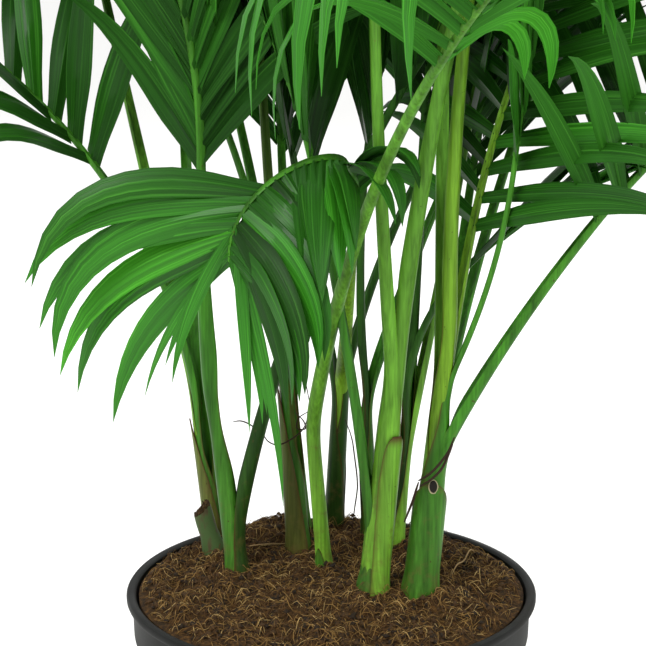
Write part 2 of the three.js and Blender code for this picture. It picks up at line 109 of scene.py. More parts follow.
def smooth(value: np.ndarray | float, low: float, high: float) -> np.ndarray | float:
    """Ease from 0 at low to 1 at high."""
    part = np.clip((np.asarray(value, float) - low) / (high - low), 0, 1)
    return part * part * (3 - 2 * part)


def linear(code: str) -> tuple[float, float, float, float]:
    """Turn an sRGB hex colour into a linear one.

    Args:
        code: Colour such as "#3e7323".

    Returns:
        Red, green, blue and alpha.
    """
    parts = [int(code[k : k + 2], 16) / 255 for k in (1, 3, 5)]
    red, green, blue = (c / 12.92 if c <= 0.04045 else ((c + 0.055) / 1.055) ** 2.4 for c in parts)
    return (red, green, blue, 1.0)


# Mesh arrays


@dataclass
class MeshArrays:
    """Points, faces, finishes and values of a piece that is joined from many small shapes."""

    points: list[np.ndarray] = field(default_factory=list)
    faces: list[np.ndarray] = field(default_factory=list)
    finishes: list[np.ndarray] = field(default_factory=list)
    values: dict[str, list[np.ndarray]] = field(default_factory=dict)
    count: int = 0

    def add(
        self,
        points: np.ndarray,
        faces: list[np.ndarray],
        finish: int | list[np.ndarray],
        **values: np.ndarray,
    ) -> None:
        """Add one shape.

        Args:
            points: Places in millimetres, one row each.
            faces: Arrays of faces, each array with faces of one size.
            finish: Material number for all faces, or one array for each array of faces.
            **values: A number for each point, kept as an attribute.
        """
        for n, block in enumerate(faces):
            self.faces.append(block + self.count)
            own = finish[n] if isinstance(finish, list) else np.full(len(block), finish)
            self.finishes.append(own)
        self.points.append(points)
        for name, rows in values.items():
            self.values.setdefault(name, []).append(rows)
        self.count += len(points)

    def add_tube(
        self,
        rings: np.ndarray,
        ends: tuple[np.ndarray, np.ndarray],
        finish: int | list[np.ndarray],
        **values: np.ndarray,
    ) -> None:
        """Add a closed shape that is drawn through rings of points and capped at both ends.

        Args:
            rings: Places in millimetres, ring by ring.
            ends: Middle points of the first and the last cap.
            finish: Material number for all faces, or arrays for the sides and the two caps.
            **values: A number for each point of the rings, and then for the two ends.
        """
        count, sides = rings.shape[:2]
        total = count * sides
        self.add(
            np.vstack([rings.reshape(-1, 3), *ends]),
            [
                tube_faces(count, sides),
                cap_faces(0, sides, total, False),
                cap_faces(total - sides, sides, total + 1, True),
            ],
            finish,
            **values,
        )

    def build(self, name: str, materials: list[bpy.types.Material]) -> bpy.types.Object:
        """Make the piece.

        Args:
            name: The piece's name.
            materials: Its finishes, in the order of their numbers.

        Returns:
            The new object, at the origin.
        """
        mesh = bpy.data.meshes.new(name)
        points = np.concatenate(self.points) * MM
        sizes = np.concatenate([np.full(len(block), block.shape[1]) for block in self.faces])
        corners = np.concatenate([block.ravel() for block in self.faces])
        mesh.vertices.add(len(points))
        mesh.vertices.foreach_set("co", points.astype(np.float32).ravel())
        mesh.loops.add(len(corners))
        mesh.loops.foreach_set("vertex_index", corners.astype(np.int32))
        mesh.polygons.add(len(sizes))
        starts = np.concatenate([[0], np.cumsum(sizes)[:-1]])
        mesh.polygons.foreach_set("loop_start", starts.astype(np.int32))
        finishes = np.concatenate(self.finishes)
        mesh.polygons.foreach_set("material_index", finishes.astype(np.int32))
        mesh.polygons.foreach_set("use_smooth", np.ones(len(sizes), bool))
        mesh.update(calc_edges=True)
        for key, rows in self.values.items():
            layer = mesh.attributes.new(key, "FLOAT", "POINT")
            layer.data.foreach_set("value", np.concatenate(rows).astype(np.float32))
        mesh.validate()
        piece = bpy.data.objects.new(name, mesh)
        bpy.context.scene.collection.objects.link(piece)
        for material in materials:
            mesh.materials.append(material)
        return piece


def tube_faces(rings: int, sides: int) -> np.ndarray:
    """Give the quads between closed rings.

    Args:
        rings: How many rings there are.
        sides: Points in each ring.

    Returns:
        One row of four point numbers for each quad, ordered ring by ring.
    """
    ring, side = np.meshgrid(np.arange(rings - 1), np.arange(sides), indexing="ij")
    a = ring * sides + side
    b = ring * sides + (side + 1) % sides
    return np.stack([a, b, b + sides, a + sides], -1).reshape(-1, 4)


def cap_faces(first: int, sides: int, centre: int, outward: bool) -> np.ndarray:
    """Give the triangles that close a ring onto a middle point.

    Args:
        first: Number of the ring's first point.
        sides: Points in the ring.
        centre: Number of the middle point.
        outward: Whether the cap faces along the tube.

    Returns:
        One row of three point numbers for each triangle.
    """
    a = first + np.arange(sides)
    b = first + (np.arange(sides) + 1) % sides
    c = np.full(sides, centre)
    return np.stack([a, b, c] if outward else [b, a, c], -1)


# The plant's own sizes, as in the part's source, in millimetres and degrees


@dataclass(frozen=True)
class Ground:
    """Top of the growing medium."""

    edge: float = 231.0
    crown: float = 240.0
    radius: float = 117.2
    power: float = 5.0

    def height(self, x: np.ndarray | float, y: np.ndarray | float) -> np.ndarray | float:
        """Give the height of the surface at a place."""
        out = np.minimum(1.0, np.hypot(x, y) / self.radius)
        return self.edge + (self.crown - self.edge) * (1 - out**self.power)


GROUND = Ground()


@dataclass(frozen=True)
class Cane:
    """A stem: its foot, lean, height and radii."""

    x: float
    y: float
    towards: float
    lean: float
    height: float
    foot: float
    top: float
    flare: float = 0.12
    flare_height: float = 16.0

    def start(self) -> np.ndarray:
        """Give the middle of the foot, on the growing medium."""
        return np.array([self.x, self.y, float(GROUND.height(self.x, self.y))])

    def axis(self) -> np.ndarray:
        """Give the direction that the cane leans in."""
        return direction(self.towards, 90 - self.lean)

    def radius(self, height: np.ndarray | float) -> np.ndarray | float:
        """Give the cane's radius, with the foot's flare.

        Args:
            height: Heights above its foot.

        Returns:
            The radius at each height.
        """
        part = np.clip(np.asarray(height, float) / self.height, 0, 1)
        flare = 1 + self.flare * (1 - smooth(height, 0, self.flare_height))
        return (self.foot + (self.top - self.foot) * part) * flare


class Tint(Enum):
    """Colour groups of the stalks and sheaths, in the order of the stems' finishes."""

    FRESH = 0
    MIDDLE = 1
    DEEP = 2
    PALE = 3
    AGED = 4


@dataclass(frozen=True)
class Leaf:
    """One leaf: where it leaves its cane, the line that it follows, and its leaflets.

    Attributes:
        cane: Letter of its cane.
        no: Its number on the cane.
        up: Height over the cane's foot at which it leaves.
        azimuth: Heading of the stalk, from +X towards +Y.
        rise: Elevation of the stalk's foot.
        bow: Elevation lost over the stalk.
        stalk: Length of the stalk.
        blade: Length of the blade.
        arch: Elevation lost over the blade.
        hook: Power of the arch, which bends later when it is under 1.
        sweep: Change of heading over the blade.
        weep: How far the leaflets' tips hang.
        leaflet: Length of the longest leaflet.
        thick: Thickness of stalk and rib against the usual.
        whole: Whether one CAD node stands for both stalk and blade.
        open: Angle from the rib to its first leaflets.
        lift: Angle from the blade's plane to its first leaflets.
        skew: Lift that the first leaflets gain on the right and lose on the left.
        roll: Turn of the blade round its rib.
        wide: Width of the leaflets against the usual.
        fall: How fast leaflets get shorter away from the longest.
        peak: Place of the longest leaflet on the blade.
        pairs: How many pairs of leaflets there are.
        bare: Share of the blade without leaflets on the right.
        lean: Lift that all leaflets gain on the right and lose on the left.
        closing: Share of the opening that is lost by the tip.
        left_back: Angle by which leaflets on the left turn back, most at one place.
        left_reach: Length of the leaflets on the left against those on the right.
        left_short: Stretch of the blade where the leaflets on the left are short.
        tassel: How many slim leaflets hang from the tip.
        slit: Turn of the sheath's opening round its cane.
        stout: Thickness of the stalk's foot against the usual.
        tint: Colour of sheath and stalk.
        rib: Colour of the rib, where it differs.
        green: Colour of the leaflets, from 0, deep, to 3, bright.
    """

    cane: str
    no: int
    up: float
    azimuth: float
    rise: float
    bow: float
    stalk: float
    blade: float
    arch: float
    hook: float = 1.0
    sweep: float = 0.0
    weep: float = 0.4
    leaflet: float = 165.0
    thick: float = 1.0
    whole: bool = False
    open: float = 50.0
    lift: float = 30.0
    skew: float = 0.0
    roll: float = 0.0
    wide: float = 1.0
    fall: float = 0.8
    peak: float = 0.4
    pairs: int = 15
    bare: float = 0.0
    lean: float = 0.0
    closing: float = 0.45
    left_back: float = 0.0
    left_reach: float = 1.0
    left_short: tuple[float, float] = (0.0, 0.0)
    tassel: int = 0
    slit: float = 0.0
    stout: float = 1.0
    tint: Tint = Tint.MIDDLE
    rib: Tint | None = None
    green: int = 1

    def nodes(self) -> list[str]:
        """Give the names of the CAD nodes that this leaf stands for, without its cane."""
        name = f"{self.cane}{self.no}"
        return [f"frond_{name}"] if self.whole else [f"stalk_{name}", f"frond_{name}"]


CANES = {
    "a": Cane(-73, 77, 145, 9, 95, 8, 6.5),
    "b": Cane(-58, 10, 152, 7.5, 100, 7.5, 6),
    "c": Cane(-20, 48, 144, 4.5, 95, 8, 6.5),
    "d": Cane(-4, 16, 195, 5, 80, 5, 4.4),
    "e": Cane(2, 102, 0, 3, 100, 7, 6),
    "f": Cane(24, -27, 24, 6, 160, 9.5, 7.5),
    "g": Cane(42, 57, 41, 5.5, 85, 5, 4.5),
    "h": Cane(53, -26, 26, 6, 155, 10, 8),
    "i": Cane(26, 78, 151, 3.5, 90, 6, 5),
    "q": Cane(-18, 86, 153, 6, 90, 6, 5),
    "r": Cane(60, 80, 30, 9, 90, 6, 5),
}

LEAVES = [
    Leaf("e", 1, 85, 273, 41.5, -15.9, 200, 150, 151, hook=0.88, sweep=-110.7, weep=0.92,
         leaflet=150, open=42, closing=-0.5, lift=26, lean=-12, roll=-74, wide=1.05, fall=0.6,
         peak=0.9, pairs=22, bare=0.69, left_back=35, left_reach=0.68, left_short=(0.56, 0.75),
         tassel=7, tint=Tint.PALE, rib=Tint.MIDDLE, green=2),
    Leaf("a", 1, 60, 172, 88, 35, 198, 260, 38, weep=0.6, open=52, lift=44, skew=56,
         wide=1.1, tint=Tint.MIDDLE, green=1),
    Leaf("h", 4, 65, 3, 64, 12, 183, 270, 35, thick=1.3, open=70, lift=58, wide=0.8,
         slit=-45, tint=Tint.MIDDLE, green=1),
    Leaf("g", 1, 58, -10, 105, 58, 133, 240, 53, open=26, lift=12, tint=Tint.DEEP, green=1),
    Leaf("h", 3, 56, 39, 83, 7, 160, 280, 30, open=72, closing=0.2, lift=-10, wide=0.75,
         pairs=17, tint=Tint.PALE, green=1),
    Leaf("d", 1, 72, 290, 70, 33.6, 325, 230, 20, weep=1.1, leaflet=195, open=68,
         left_reach=0.5, fall=2.2, tint=Tint.FRESH, green=2),
    Leaf("b", 1, 90, 205, 83, -8, 160, 280, 40, thick=1.2, whole=True, open=34, lift=16,
         lean=-45, pairs=19, stout=1.4, green=0),
    Leaf("h", 5, 105, -4, 61, -23, 160, 240, 5, leaflet=105, thick=0.8, whole=True,
         open=24, lift=20, stout=0.65, tint=Tint.MIDDLE, green=1),
    Leaf("f", 2, 110, 237, 80, -8, 280, 260, 75, tint=Tint.FRESH, green=2),
    Leaf("f", 3, 150, 322, 82, 8, 270, 260, 65, thick=1.3, tint=Tint.FRESH, green=2),
    Leaf("h", 2, 145, 313, 92, 13, 280, 260, 75, thick=1.1, tint=Tint.PALE, green=2),
    Leaf("a", 2, 80, 132, 69, -2, 300, 250, 40, whole=True, tint=Tint.FRESH, green=1),
    Leaf("a", 3, 85, 100, 76, 8, 290, 250, 65, sweep=15, green=0),
    Leaf("c", 1, 80, 188, 87, 18.4, 215, 270, 51, open=48, tint=Tint.MIDDLE, green=1),
    Leaf("e", 3, 80, 8, 79, 19.3, 200, 270, 55, open=36, tint=Tint.DEEP, green=0),
    Leaf("b", 2, 6, 2, 80, 19, 300, 250, 40, thick=1.2, whole=True, stout=1.35,
         tint=Tint.DEEP, green=0),
    Leaf("q", 1, 80, 125, 76, 8.9, 200, 270, 68, open=40, green=0),
    Leaf("q", 2, 60, 95, 68, 11.2, 200, 260, 63, open=42, green=1),
    Leaf("r", 1, 80, 50, 70, 10, 200, 270, 64, open=42, green=1),
    Leaf("r", 2, 60, 75, 62, 10, 190, 260, 62, open=42, green=0),
    Leaf("i", 2, 70, 30, 71, 10, 200, 270, 69, open=40, green=1),
    Leaf("i", 1, 80, 5, 96, 11.3, 170, 280, 44, whole=True, open=30, tint=Tint.DEEP, green=0),
    Leaf("g", 2, 45, 21, 77, -3.2, 230, 260, 36, whole=True, open=40, tint=Tint.FRESH,
         green=1),
    Leaf("g", 3, 75, 60, 84, 0, 200, 270, 30, whole=True, open=36, tint=Tint.DEEP, green=0),
    Leaf("e", 2, 70, 160, 77, -2.4, 175, 280, 42, whole=True, open=32, tint=Tint.DEEP,
         green=0),
    Leaf("f", 1, 8, 172, 84, 5.8, 250, 260, 36, thick=1.1, whole=True, open=34,
         tint=Tint.MIDDLE, green=1),
    Leaf("c", 2, 30, 132, 81, -4.3, 257, 260, 26, whole=True, open=40, tint=Tint.AGED,
         green=0),
    Leaf("h", 1, 110, 95, 84, -1, 290, 260, 30, thick=1.1, whole=True, tint=Tint.FRESH,
         green=1),
]


# Growth rule


@dataclass
class LeafLine:
    """The line of a leaf, from inside its cane to the tip of its rib."""

    leaf: Leaf
    collar: float = 40.0
    step: float = 5.0
    rolled_by: float = 0.4

    def __post_init__(self) -> None:
        """Grow the line step by step, easing from the cane's lean to the leaf's own rise."""
        leaf = self.leaf
        cane = CANES[leaf.cane]
        self.axis = cane.axis()
        total = leaf.stalk + leaf.blade
        count = round(total / self.step)
        self.step = total / count
        along = (np.arange(count + 1) + 0.5) * self.step
        over = np.clip((along - leaf.stalk) / leaf.blade, 0, 1)
        elevation = leaf.rise - leaf.bow * np.minimum(1, along / leaf.stalk)
        elevation = elevation - leaf.arch * (1 - (1 - over) ** leaf.hook)
        self.azimuths = leaf.azimuth + leaf.sweep * over
        own = np.array([direction(a, e) for a, e in zip(self.azimuths, elevation)])
        free = smooth(along, 0, self.collar)[:, None]
        self.tangents = unit(self.axis * (1 - free) + own * free)
        start = cane.start() + self.axis * leaf.up
        walked = np.cumsum(self.tangents[:-1] * self.step, axis=0)
        self.points = np.vstack([start, start + walked])

    def frames(self, along: np.ndarray) -> tuple[np.ndarray, np.ndarray, np.ndarray, np.ndarray]:
        """Give places and frames along the leaf; less than 0 is down inside the cane.

        Args:
            along: Distances from where the leaf leaves its cane.

        Returns:
            Points, tangents, side vectors and upper-face vectors, one row each.
        """
        # A little short of the last point, so that every place has a point after it
        last = len(self.points) - 1.001
        place = np.clip(along / self.step, 0, last)
        n = place.astype(int)
        part = (place - n)[:, None]
        point = self.points[n] * (1 - part) + self.points[n + 1] * part
        tangent = unit(self.tangents[n] * (1 - part) + self.tangents[n + 1] * part)
        below = np.minimum(along, 0)[:, None]
        point = point + self.axis * below
        tangent = np.where(below < 0, self.axis, tangent)
        turn = np.radians(self.azimuths[n])
        side = np.stack([np.sin(turn), -np.cos(turn), np.zeros(len(turn))], -1)
        side = unit(side - tangent * (side * tangent).sum(-1, keepdims=True))
        face = np.cross(side, tangent)
        over = (along - self.leaf.stalk) / self.leaf.blade
        roll = np.radians(self.leaf.roll * smooth(over, 0, self.rolled_by))[:, None]
        cos, sin = np.cos(roll), np.sin(roll)
        return point, tangent, side * cos - face * sin, face * cos + side * sin


# Stems: sheaths, stalks and ribs in one sweep


@dataclass
class StemSweep:
    """The sheath, stalk and rib of a leaf as one closed shape of changing section.

    Its section is a shell round the cane, which opens where the leaf leaves and fills to a
    grooved stalk. A pair of distances says where a change starts and ends.

    Attributes:
        leaf: The leaf.
        line: Its line.
        layer: How far the sheath lies over the cane's radius.
        seed: What sets its torn margin apart from others.
        outer: Points on the outside of a section.
        inner: Points on the inside.
        sunk: Depth of its foot in the growing medium.
        fork: How far up the fine steps go.
        steps: Distances between sections on the sheath, the fork and the stalk.
        rib_sections: How many sections the rib has.
        stalk_foot: Radius of the stalk where it starts.
        stalk_end: Radius where the blade starts.
        tip: Radius at the end of the rib.
        tapers: Powers of the stalk's and the rib's taper.
        shell: Thickness of the sheath.
        shell_share: The most that it takes of a thin section's radius.
        groove: Depth of the stalk's groove, as a share of its radius.
        wraps: Angles that sheath, mouth and stalk wrap to each side.
        opens: Where the sheath opens to its mouth.
        rounds: Where the mouth rounds to the stalk.
        thins: Where the sheath's radius goes over to the stalk's.
        fills: Where the shell fills up.
        straightens: Where the opening's turn round the cane ends.
        ragged: Angle by which the margin is torn.
        evened: Sections over which the tear is evened out.
        torn: Where the tear starts and where it ends.
        margin_power: How narrow the dried margin is.
        margin_low: How dry the margin is at the foot.
        dries: Where the margin gets dry and where it is green again.
    """

    leaf: Leaf
    line: LeafLine
    layer: float
    seed: float
    outer: int = 21
    inner: int = 9
    sunk: float = 7.0
    fork: float = 60.0
    steps: tuple[float, float, float] = (6.0, 3.0, 8.0)
    rib_sections: int = 30
    stalk_foot: float = 5.2
    stalk_end: float = 2.8
    tip: float = 0.7
    tapers: tuple[float, float] = (0.6, 0.8)
    shell: float = 1.1
    shell_share: float = 0.4
    groove: float = 0.34
    wraps: tuple[float, float, float] = (174.0, 90.0, 113.0)
    opens: tuple[float, float] = (-52.0, 10.0)
    rounds: tuple[float, float] = (20.0, 56.0)
    thins: tuple[float, float] = (-6.0, 42.0)
    fills: tuple[float, float] = (4.0, 48.0)
    straightens: tuple[float, float] = (0.0, 64.0)
    ragged: float = 5.0
    evened: int = 5
    torn: tuple[tuple[float, float], tuple[float, float]] = ((-50.0, -20.0), (10.0, 40.0))
    margin_power: int = 16
    margin_low: float = 0.25
    dries: tuple[tuple[float, float], tuple[float, float]] = ((-66.0, -24.0), (14.0, 50.0))

    def __post_init__(self) -> None:
        """Set out the sections, and the points on the outside and the inside of each."""
        leaf = self.leaf
        on_sheath, on_fork, on_stalk = self.steps
        self.along = np.concatenate([
            np.arange(-leaf.up - self.sunk, 0, on_sheath),
            np.arange(0, self.fork, on_fork),
            np.arange(self.fork, leaf.stalk, on_stalk),
            np.linspace(leaf.stalk, leaf.stalk + leaf.blade, self.rib_sections),
        ])
        self.turn = np.sin(np.linspace(-1, 1, self.outer) * math.pi / 2)
        self.back = np.linspace(1, -1, self.inner + 2)[1:-1]

    def radii(self) -> np.ndarray:
        """Size the sections, from sheath to stalk to rib.

        Returns:
            The outer radius of each.
        """
        leaf, along = self.leaf, self.along
        part = np.clip(along / leaf.stalk, 0, 1)
        foot = self.stalk_foot * leaf.stout
        stalk = leaf.thick * (foot + (self.stalk_end - foot) * part ** self.tapers[0])
        over = np.clip((along - leaf.stalk) / leaf.blade, 0, 1)
        rib = leaf.thick * (self.stalk_end + (self.tip - self.stalk_end) * over ** self.tapers[1])
        sheath = CANES[leaf.cane].radius(leaf.up + along) + self.layer
        free = smooth(along, *self.thins)
        return np.where(along > leaf.stalk, rib, sheath * (1 - free) + stalk * free)

    def wrap(self) -> np.ndarray:
        """Set how far the sections wrap round the cane, with their torn margin.

        Returns:
            The angle of each section to each side, in radians.
        """
        along = self.along
        sheath, mouth, stalk = self.wraps
        wrap = sheath + (mouth - sheath) * smooth(along, *self.opens)
        wrap = wrap + (stalk - mouth) * smooth(along, *self.rounds)
        rough = np.array([noise(self.seed + 3, k) - 0.5 for k in range(len(along))])
        rough = np.convolve(rough, np.full(self.evened, 1 / self.evened), "same") * self.ragged
        starts, ends = self.torn
        return np.radians(wrap + rough * smooth(along, *starts) * (1 - smooth(along, *ends)))

    def sections(self) -> tuple[np.ndarray, np.ndarray]:
        """Give the outline of each section.

        Returns:
            Places to the side and towards the upper face, one row for each section.
        """
        radius, wrap = self.radii()[:, None], self.wrap()[:, None]
        solid = smooth(self.along, *self.fills)[:, None]
        turn, back = self.turn, self.back
        within = radius - np.minimum(self.shell, self.shell_share * radius)
        shell_x, shell_y = within * np.sin(wrap * back), -within * np.cos(wrap * back)
        stalk_x = radius * np.sin(wrap) * back
        stalk_y = -radius * np.cos(wrap) - self.groove * radius * (1 - back**2)
        x = [radius * np.sin(wrap * turn), shell_x * (1 - solid) + stalk_x * solid]
        y = [-radius * np.cos(wrap * turn), shell_y * (1 - solid) + stalk_y * solid]
        return np.hstack(x), np.hstack(y)

    def margins(self) -> np.ndarray:
        """Set where the sheath has dried, most on its open margins.

        Returns:
            How dry each point of each section is, from 0 to 1.
        """
        starts, ends = self.dries
        dry = self.margin_low + (1 - self.margin_low) * smooth(self.along, *starts)
        dry = dry * (1 - smooth(self.along, *ends))
        edge = np.abs(np.concatenate([self.turn, self.back])) ** self.margin_power
        return edge * dry[:, None]

    def build(self, arrays: MeshArrays) -> None:
        """Add the sweep to a piece.

        Args:
            arrays: The piece that this leaf's stem is joined into.
        """
        leaf, along = self.leaf, self.along
        point, _, side, face = self.line.frames(along)
        twist = np.radians(leaf.slit * (1 - smooth(along, *self.straightens)))[:, None]
        cos, sin = np.cos(twist), np.sin(twist)
        side, face = side * cos - face * sin, face * cos + side * sin
        x, y = self.sections()
        rings = point[:, None] + x[..., None] * side[:, None] + y[..., None] * face[:, None]
        count, sides = x.shape
        tints = np.full(count, leaf.tint.value)
        if leaf.rib is not None:
            tints[along >= leaf.stalk] = leaf.rib.value
        tints = np.repeat(tints, sides)
        rise = np.repeat(along + leaf.up, sides) / RISE_SPAN
        arrays.add_tube(
            rings,
            (point[0], point[-1]),
            [tints[:-sides], tints[:sides], tints[-sides:]],
            rise=np.concatenate([rise, rise[:1], rise[-1:]]),
            margin=np.concatenate([self.margins().ravel(), [0.0, 0.0]]),
        )


@dataclass(frozen=True)
class OldSheath:
    """The remains of a sheath whose leaf is gone: a shell round the cane, with a dried margin."""

    cane: str
    facing: float
    half: float
    top: float
    out: float
    drift: float = 0.0
    blunt: float = 2.0
    spread: float = 3.0
    sunk: float = 7.0
    thickness: float = 0.9
    ragged: float = 2.5
    lip: float = 0.7
    margin_power: int = 8
    tip_dry: float = 0.93
    margin_low: float = 0.6
    narrowest: float = 0.03
    crowding: float = 1.5
    drift_power: float = 1.5
    lip_power: int = 8
    rows: int = 26
    columns: int = 17
    tint: Tint = Tint.MIDDLE

    def build(self, arrays: MeshArrays) -> None:
        """Add the shell to a piece.

        Args:
            arrays: The piece that the cane's stems are joined into.
        """
        cane = CANES[self.cane]
        axis = cane.axis()
        side = unit(np.cross(axis, UP))
        face = np.cross(axis, side)
        bearing = math.atan2(side[1], side[0])
        part = 1 - (1 - np.linspace(0, 1, self.rows)) ** self.crowding
        heights = -self.sunk + (self.top + self.sunk) * part
        turn = np.sin(np.linspace(-1, 1, self.columns) * math.pi / 2)
        rings = []
        margins = []
        for n, height in enumerate(heights):
            share = np.clip(height / self.top, 0, 1)
            narrowed = max(self.narrowest, 1 - share**self.spread)
            half = self.half * narrowed ** (1 / self.blunt)
            half += self.ragged * (noise(self.top, n) - 0.5)
            middle = self.facing + self.drift * share**self.drift_power
            angle = np.radians(middle + half * turn) - bearing
            radius = cane.radius(height) + self.out + self.lip * share**self.lip_power
            outward = np.cos(angle)[:, None] * side + np.sin(angle)[:, None] * face
            centre = cane.start() + axis * height
            inside = centre + outward[::-1] * (radius - self.thickness)
            rings.append(np.vstack([centre + outward * radius, inside]))
            edge = np.maximum(np.abs(turn) ** self.margin_power, smooth(share, self.tip_dry, 1.0))
            edge = edge * (self.margin_low + (1 - self.margin_low) * share)
            margins += [edge, edge]
        rise = np.repeat(heights / RISE_SPAN, 2 * self.columns)
        arrays.add_tube(
            np.array(rings),
            (rings[0][0], rings[-1][-1]),
            self.tint.value,
            rise=np.concatenate([rise, rise[:1], rise[-1:]]),
            margin=np.concatenate([*margins, [0.0, 1.0]]),
        )


OLD_SHEATHS = [
    OldSheath("f", -22, 76, 100, 0.5, drift=-34, blunt=2.6, spread=4, tint=Tint.FRESH),
    OldSheath("h", -92, 112, 72, 0.7, drift=2, blunt=1.5, spread=4.5, tint=Tint.MIDDLE),
    OldSheath("c", -150, 100, 112, 0.4, drift=-18, blunt=1.2, spread=1.5, tint=Tint.AGED),
    OldSheath("a", -152, 96, 84, 0.4, drift=-20, blunt=1.2, spread=1.6, tint=Tint.AGED),
    OldSheath("d", -130, 52, 15, 0.3, drift=10, blunt=1.2, spread=1.6, tint=Tint.MIDDLE),
]


@dataclass(frozen=True)
class LeafScar:
    """The torn mouth of an old sheath: a pale ragged rim round a dark plug of painted shade."""

    x: float = 59.5
    y: float = -37.4
    z: float = 311.0
    tilt: float = 24.0
    wide: float = 2.3
    tall: float = 3.6
    tube: float = 0.65
    tube_least: float = 0.75
    tube_change: float = 0.6
    around: int = 16
    sides: int = 6
    raised: float = 0.15
    plug: float = 1.2
    rim: int = len(Tint)
    # Finish of the plug, a near-black painted shade
    hollow: int = len(Tint) + 1
    seed: int = 31

    def build(self, arrays: MeshArrays) -> None:
        """Add the rim and its dark plug to a piece.

        Args:
            Add the rim, and the dark plug that paints the shade inside the mouth, to a piece.
        """
        across = np.array([1.0, 0.0, 0.0])
        up = direction(90, 90 - self.tilt)
        out = np.cross(across, up)
        turn = np.arange(self.around) * 2 * math.pi / self.around
        section = np.arange(self.sides) * 2 * math.pi / self.sides
        centre = np.array([self.x, self.y, self.z])
        rings = []
        for n, angle in enumerate(turn):
            ray = across * math.cos(angle) * self.wide + up * math.sin(angle) * self.tall
            own = self.tube * (self.tube_least + self.tube_change * noise(self.seed, n))
            bulge = np.cos(section)[:, None] * unit(ray) - np.sin(section)[:, None] * out
            rings.append(centre + ray + own * bulge)
        count = self.around * self.sides
        plain = np.zeros(count)
        quads = tube_faces(self.around + 1, self.sides) % count
        arrays.add(np.concatenate(rings), [quads], self.rim, rise=plain, margin=plain)
        # A dark plug fills the mouth as painted shade
        back = np.array([ring.mean(0) for ring in rings]) + out * self.raised
        plug = np.array([back, back + out * self.plug])
        plain = np.zeros(2 * self.around + 2)
        arrays.add_tube(plug, tuple(plug.mean(1)), self.hollow, rise=plain, margin=plain)


# Fronds: leaflets in their own outline


@dataclass(frozen=True)
class LeafletRule:
    """How leaflets stand on the rib, as in the part's source but with their full count.

    Attributes:
        first_at: How far up the blade the first pair stands.
        last_short: How far before the rib's tip the last pair stands.
        flattening: Share of the lift that is lost by the tip.
        half_width: Half the width of the usual leaflet.
        width_change: How much widths differ, as a share.
        foot_width: Width at the foot, as a share of the widest.
        tip_width: Width at the tip, as a share.
        swells_by: Place at which it is widest.
        points_from: Place from which it narrows to its tip.
        point_power: How blunt the tip is.
        thickness: Thickness at the foot.
        thinning: Share of the thickness that is lost by the tip.
        weep_power: How late a leaflet starts to hang.
        weep_change: How much the weep differs, as a share.
        reach_change: How much lengths differ, as a share.
        spread: Angle by which openings and lifts differ.
        twist: Most twist from foot to tip.
        tilt: Most tilt of the whole leaflet.
        fold: Angles of the keel at the foot and where it has opened.
        opens_by: Place at which the keel has opened.
        pleat: Height of the pleats against the half width.
        pleat_from: Half width from which pleats have their full height.
        short: Length of the short leaflets against the usual.
        back_at: Place on the blade where leaflets turn back the most.
        back_span: How far from there the turning back ends.
        root_aside: How far out of the rib's middle line a leaflet starts.
        root_up: How far over that line it starts.
        root_change: Share of both that is lost by the tip.
        slant: The most that a leaflet's foot runs along the rib.
        slants_by: Place at which its section is square to it again.
        strand: How far apart two leaflets' vein patterns are.
        skew_power: How soon the leaf's skew is lost along the blade.
        crowding: How much closer sections are at the foot.
        steps: Sections along a leaflet.
        columns: Points across each of its faces.
    """

    first_at: float = 8.0
    last_short: float = 3.0
    flattening: float = 0.6
    half_width: float = 8.2
    width_change: float = 0.1
    foot_width: float = 0.6
    tip_width: float = 0.012
    swells_by: float = 0.3
    points_from: float = 0.34
    point_power: float = 1.8
    thickness: float = 0.5
    thinning: float = 0.6
    weep_power: float = 1.5
    weep_change: float = 0.25
    reach_change: float = 0.06
    spread: float = 6.0
    twist: float = 16.0
    tilt: float = 10.0
    fold: tuple[float, float] = (30.0, 8.0)
    opens_by: float = 0.5
    pleat: float = 0.32
    pleat_from: float = 4.0
    short: float = 0.58
    back_at: float = 0.7
    back_span: float = 0.2
    root_aside: float = 1.2
    root_up: float = 0.6
    root_change: float = 0.8
    slant: float = 1.2
    slants_by: float = 0.12
    strand: float = 0.37
    skew_power: int = 4
    crowding: float = 1.25
    steps: int = 13
    columns: int = 5

    def rings(self) -> np.ndarray:
        """Give the places of a leaflet's rings, closer together at the foot."""
        return np.linspace(0, 1, self.steps + 1) ** self.crowding

    def outline(self, part: np.ndarray) -> np.ndarray:
        """Draw the leaflet's outline, from its narrow foot to its tip.

        Args:
            part: Places along the leaflet, from 0 to 1.

        Returns:
            The half width at each place, as a share of the widest.
        """
        swell = self.foot_width + (1 - self.foot_width) * smooth(part, 0.0, self.swells_by)
        over = np.clip((part - self.points_from) / (1 - self.points_from), 0, 1)
        return swell * (1 - over**self.point_power) + self.tip_width


RULE = LeafletRule()


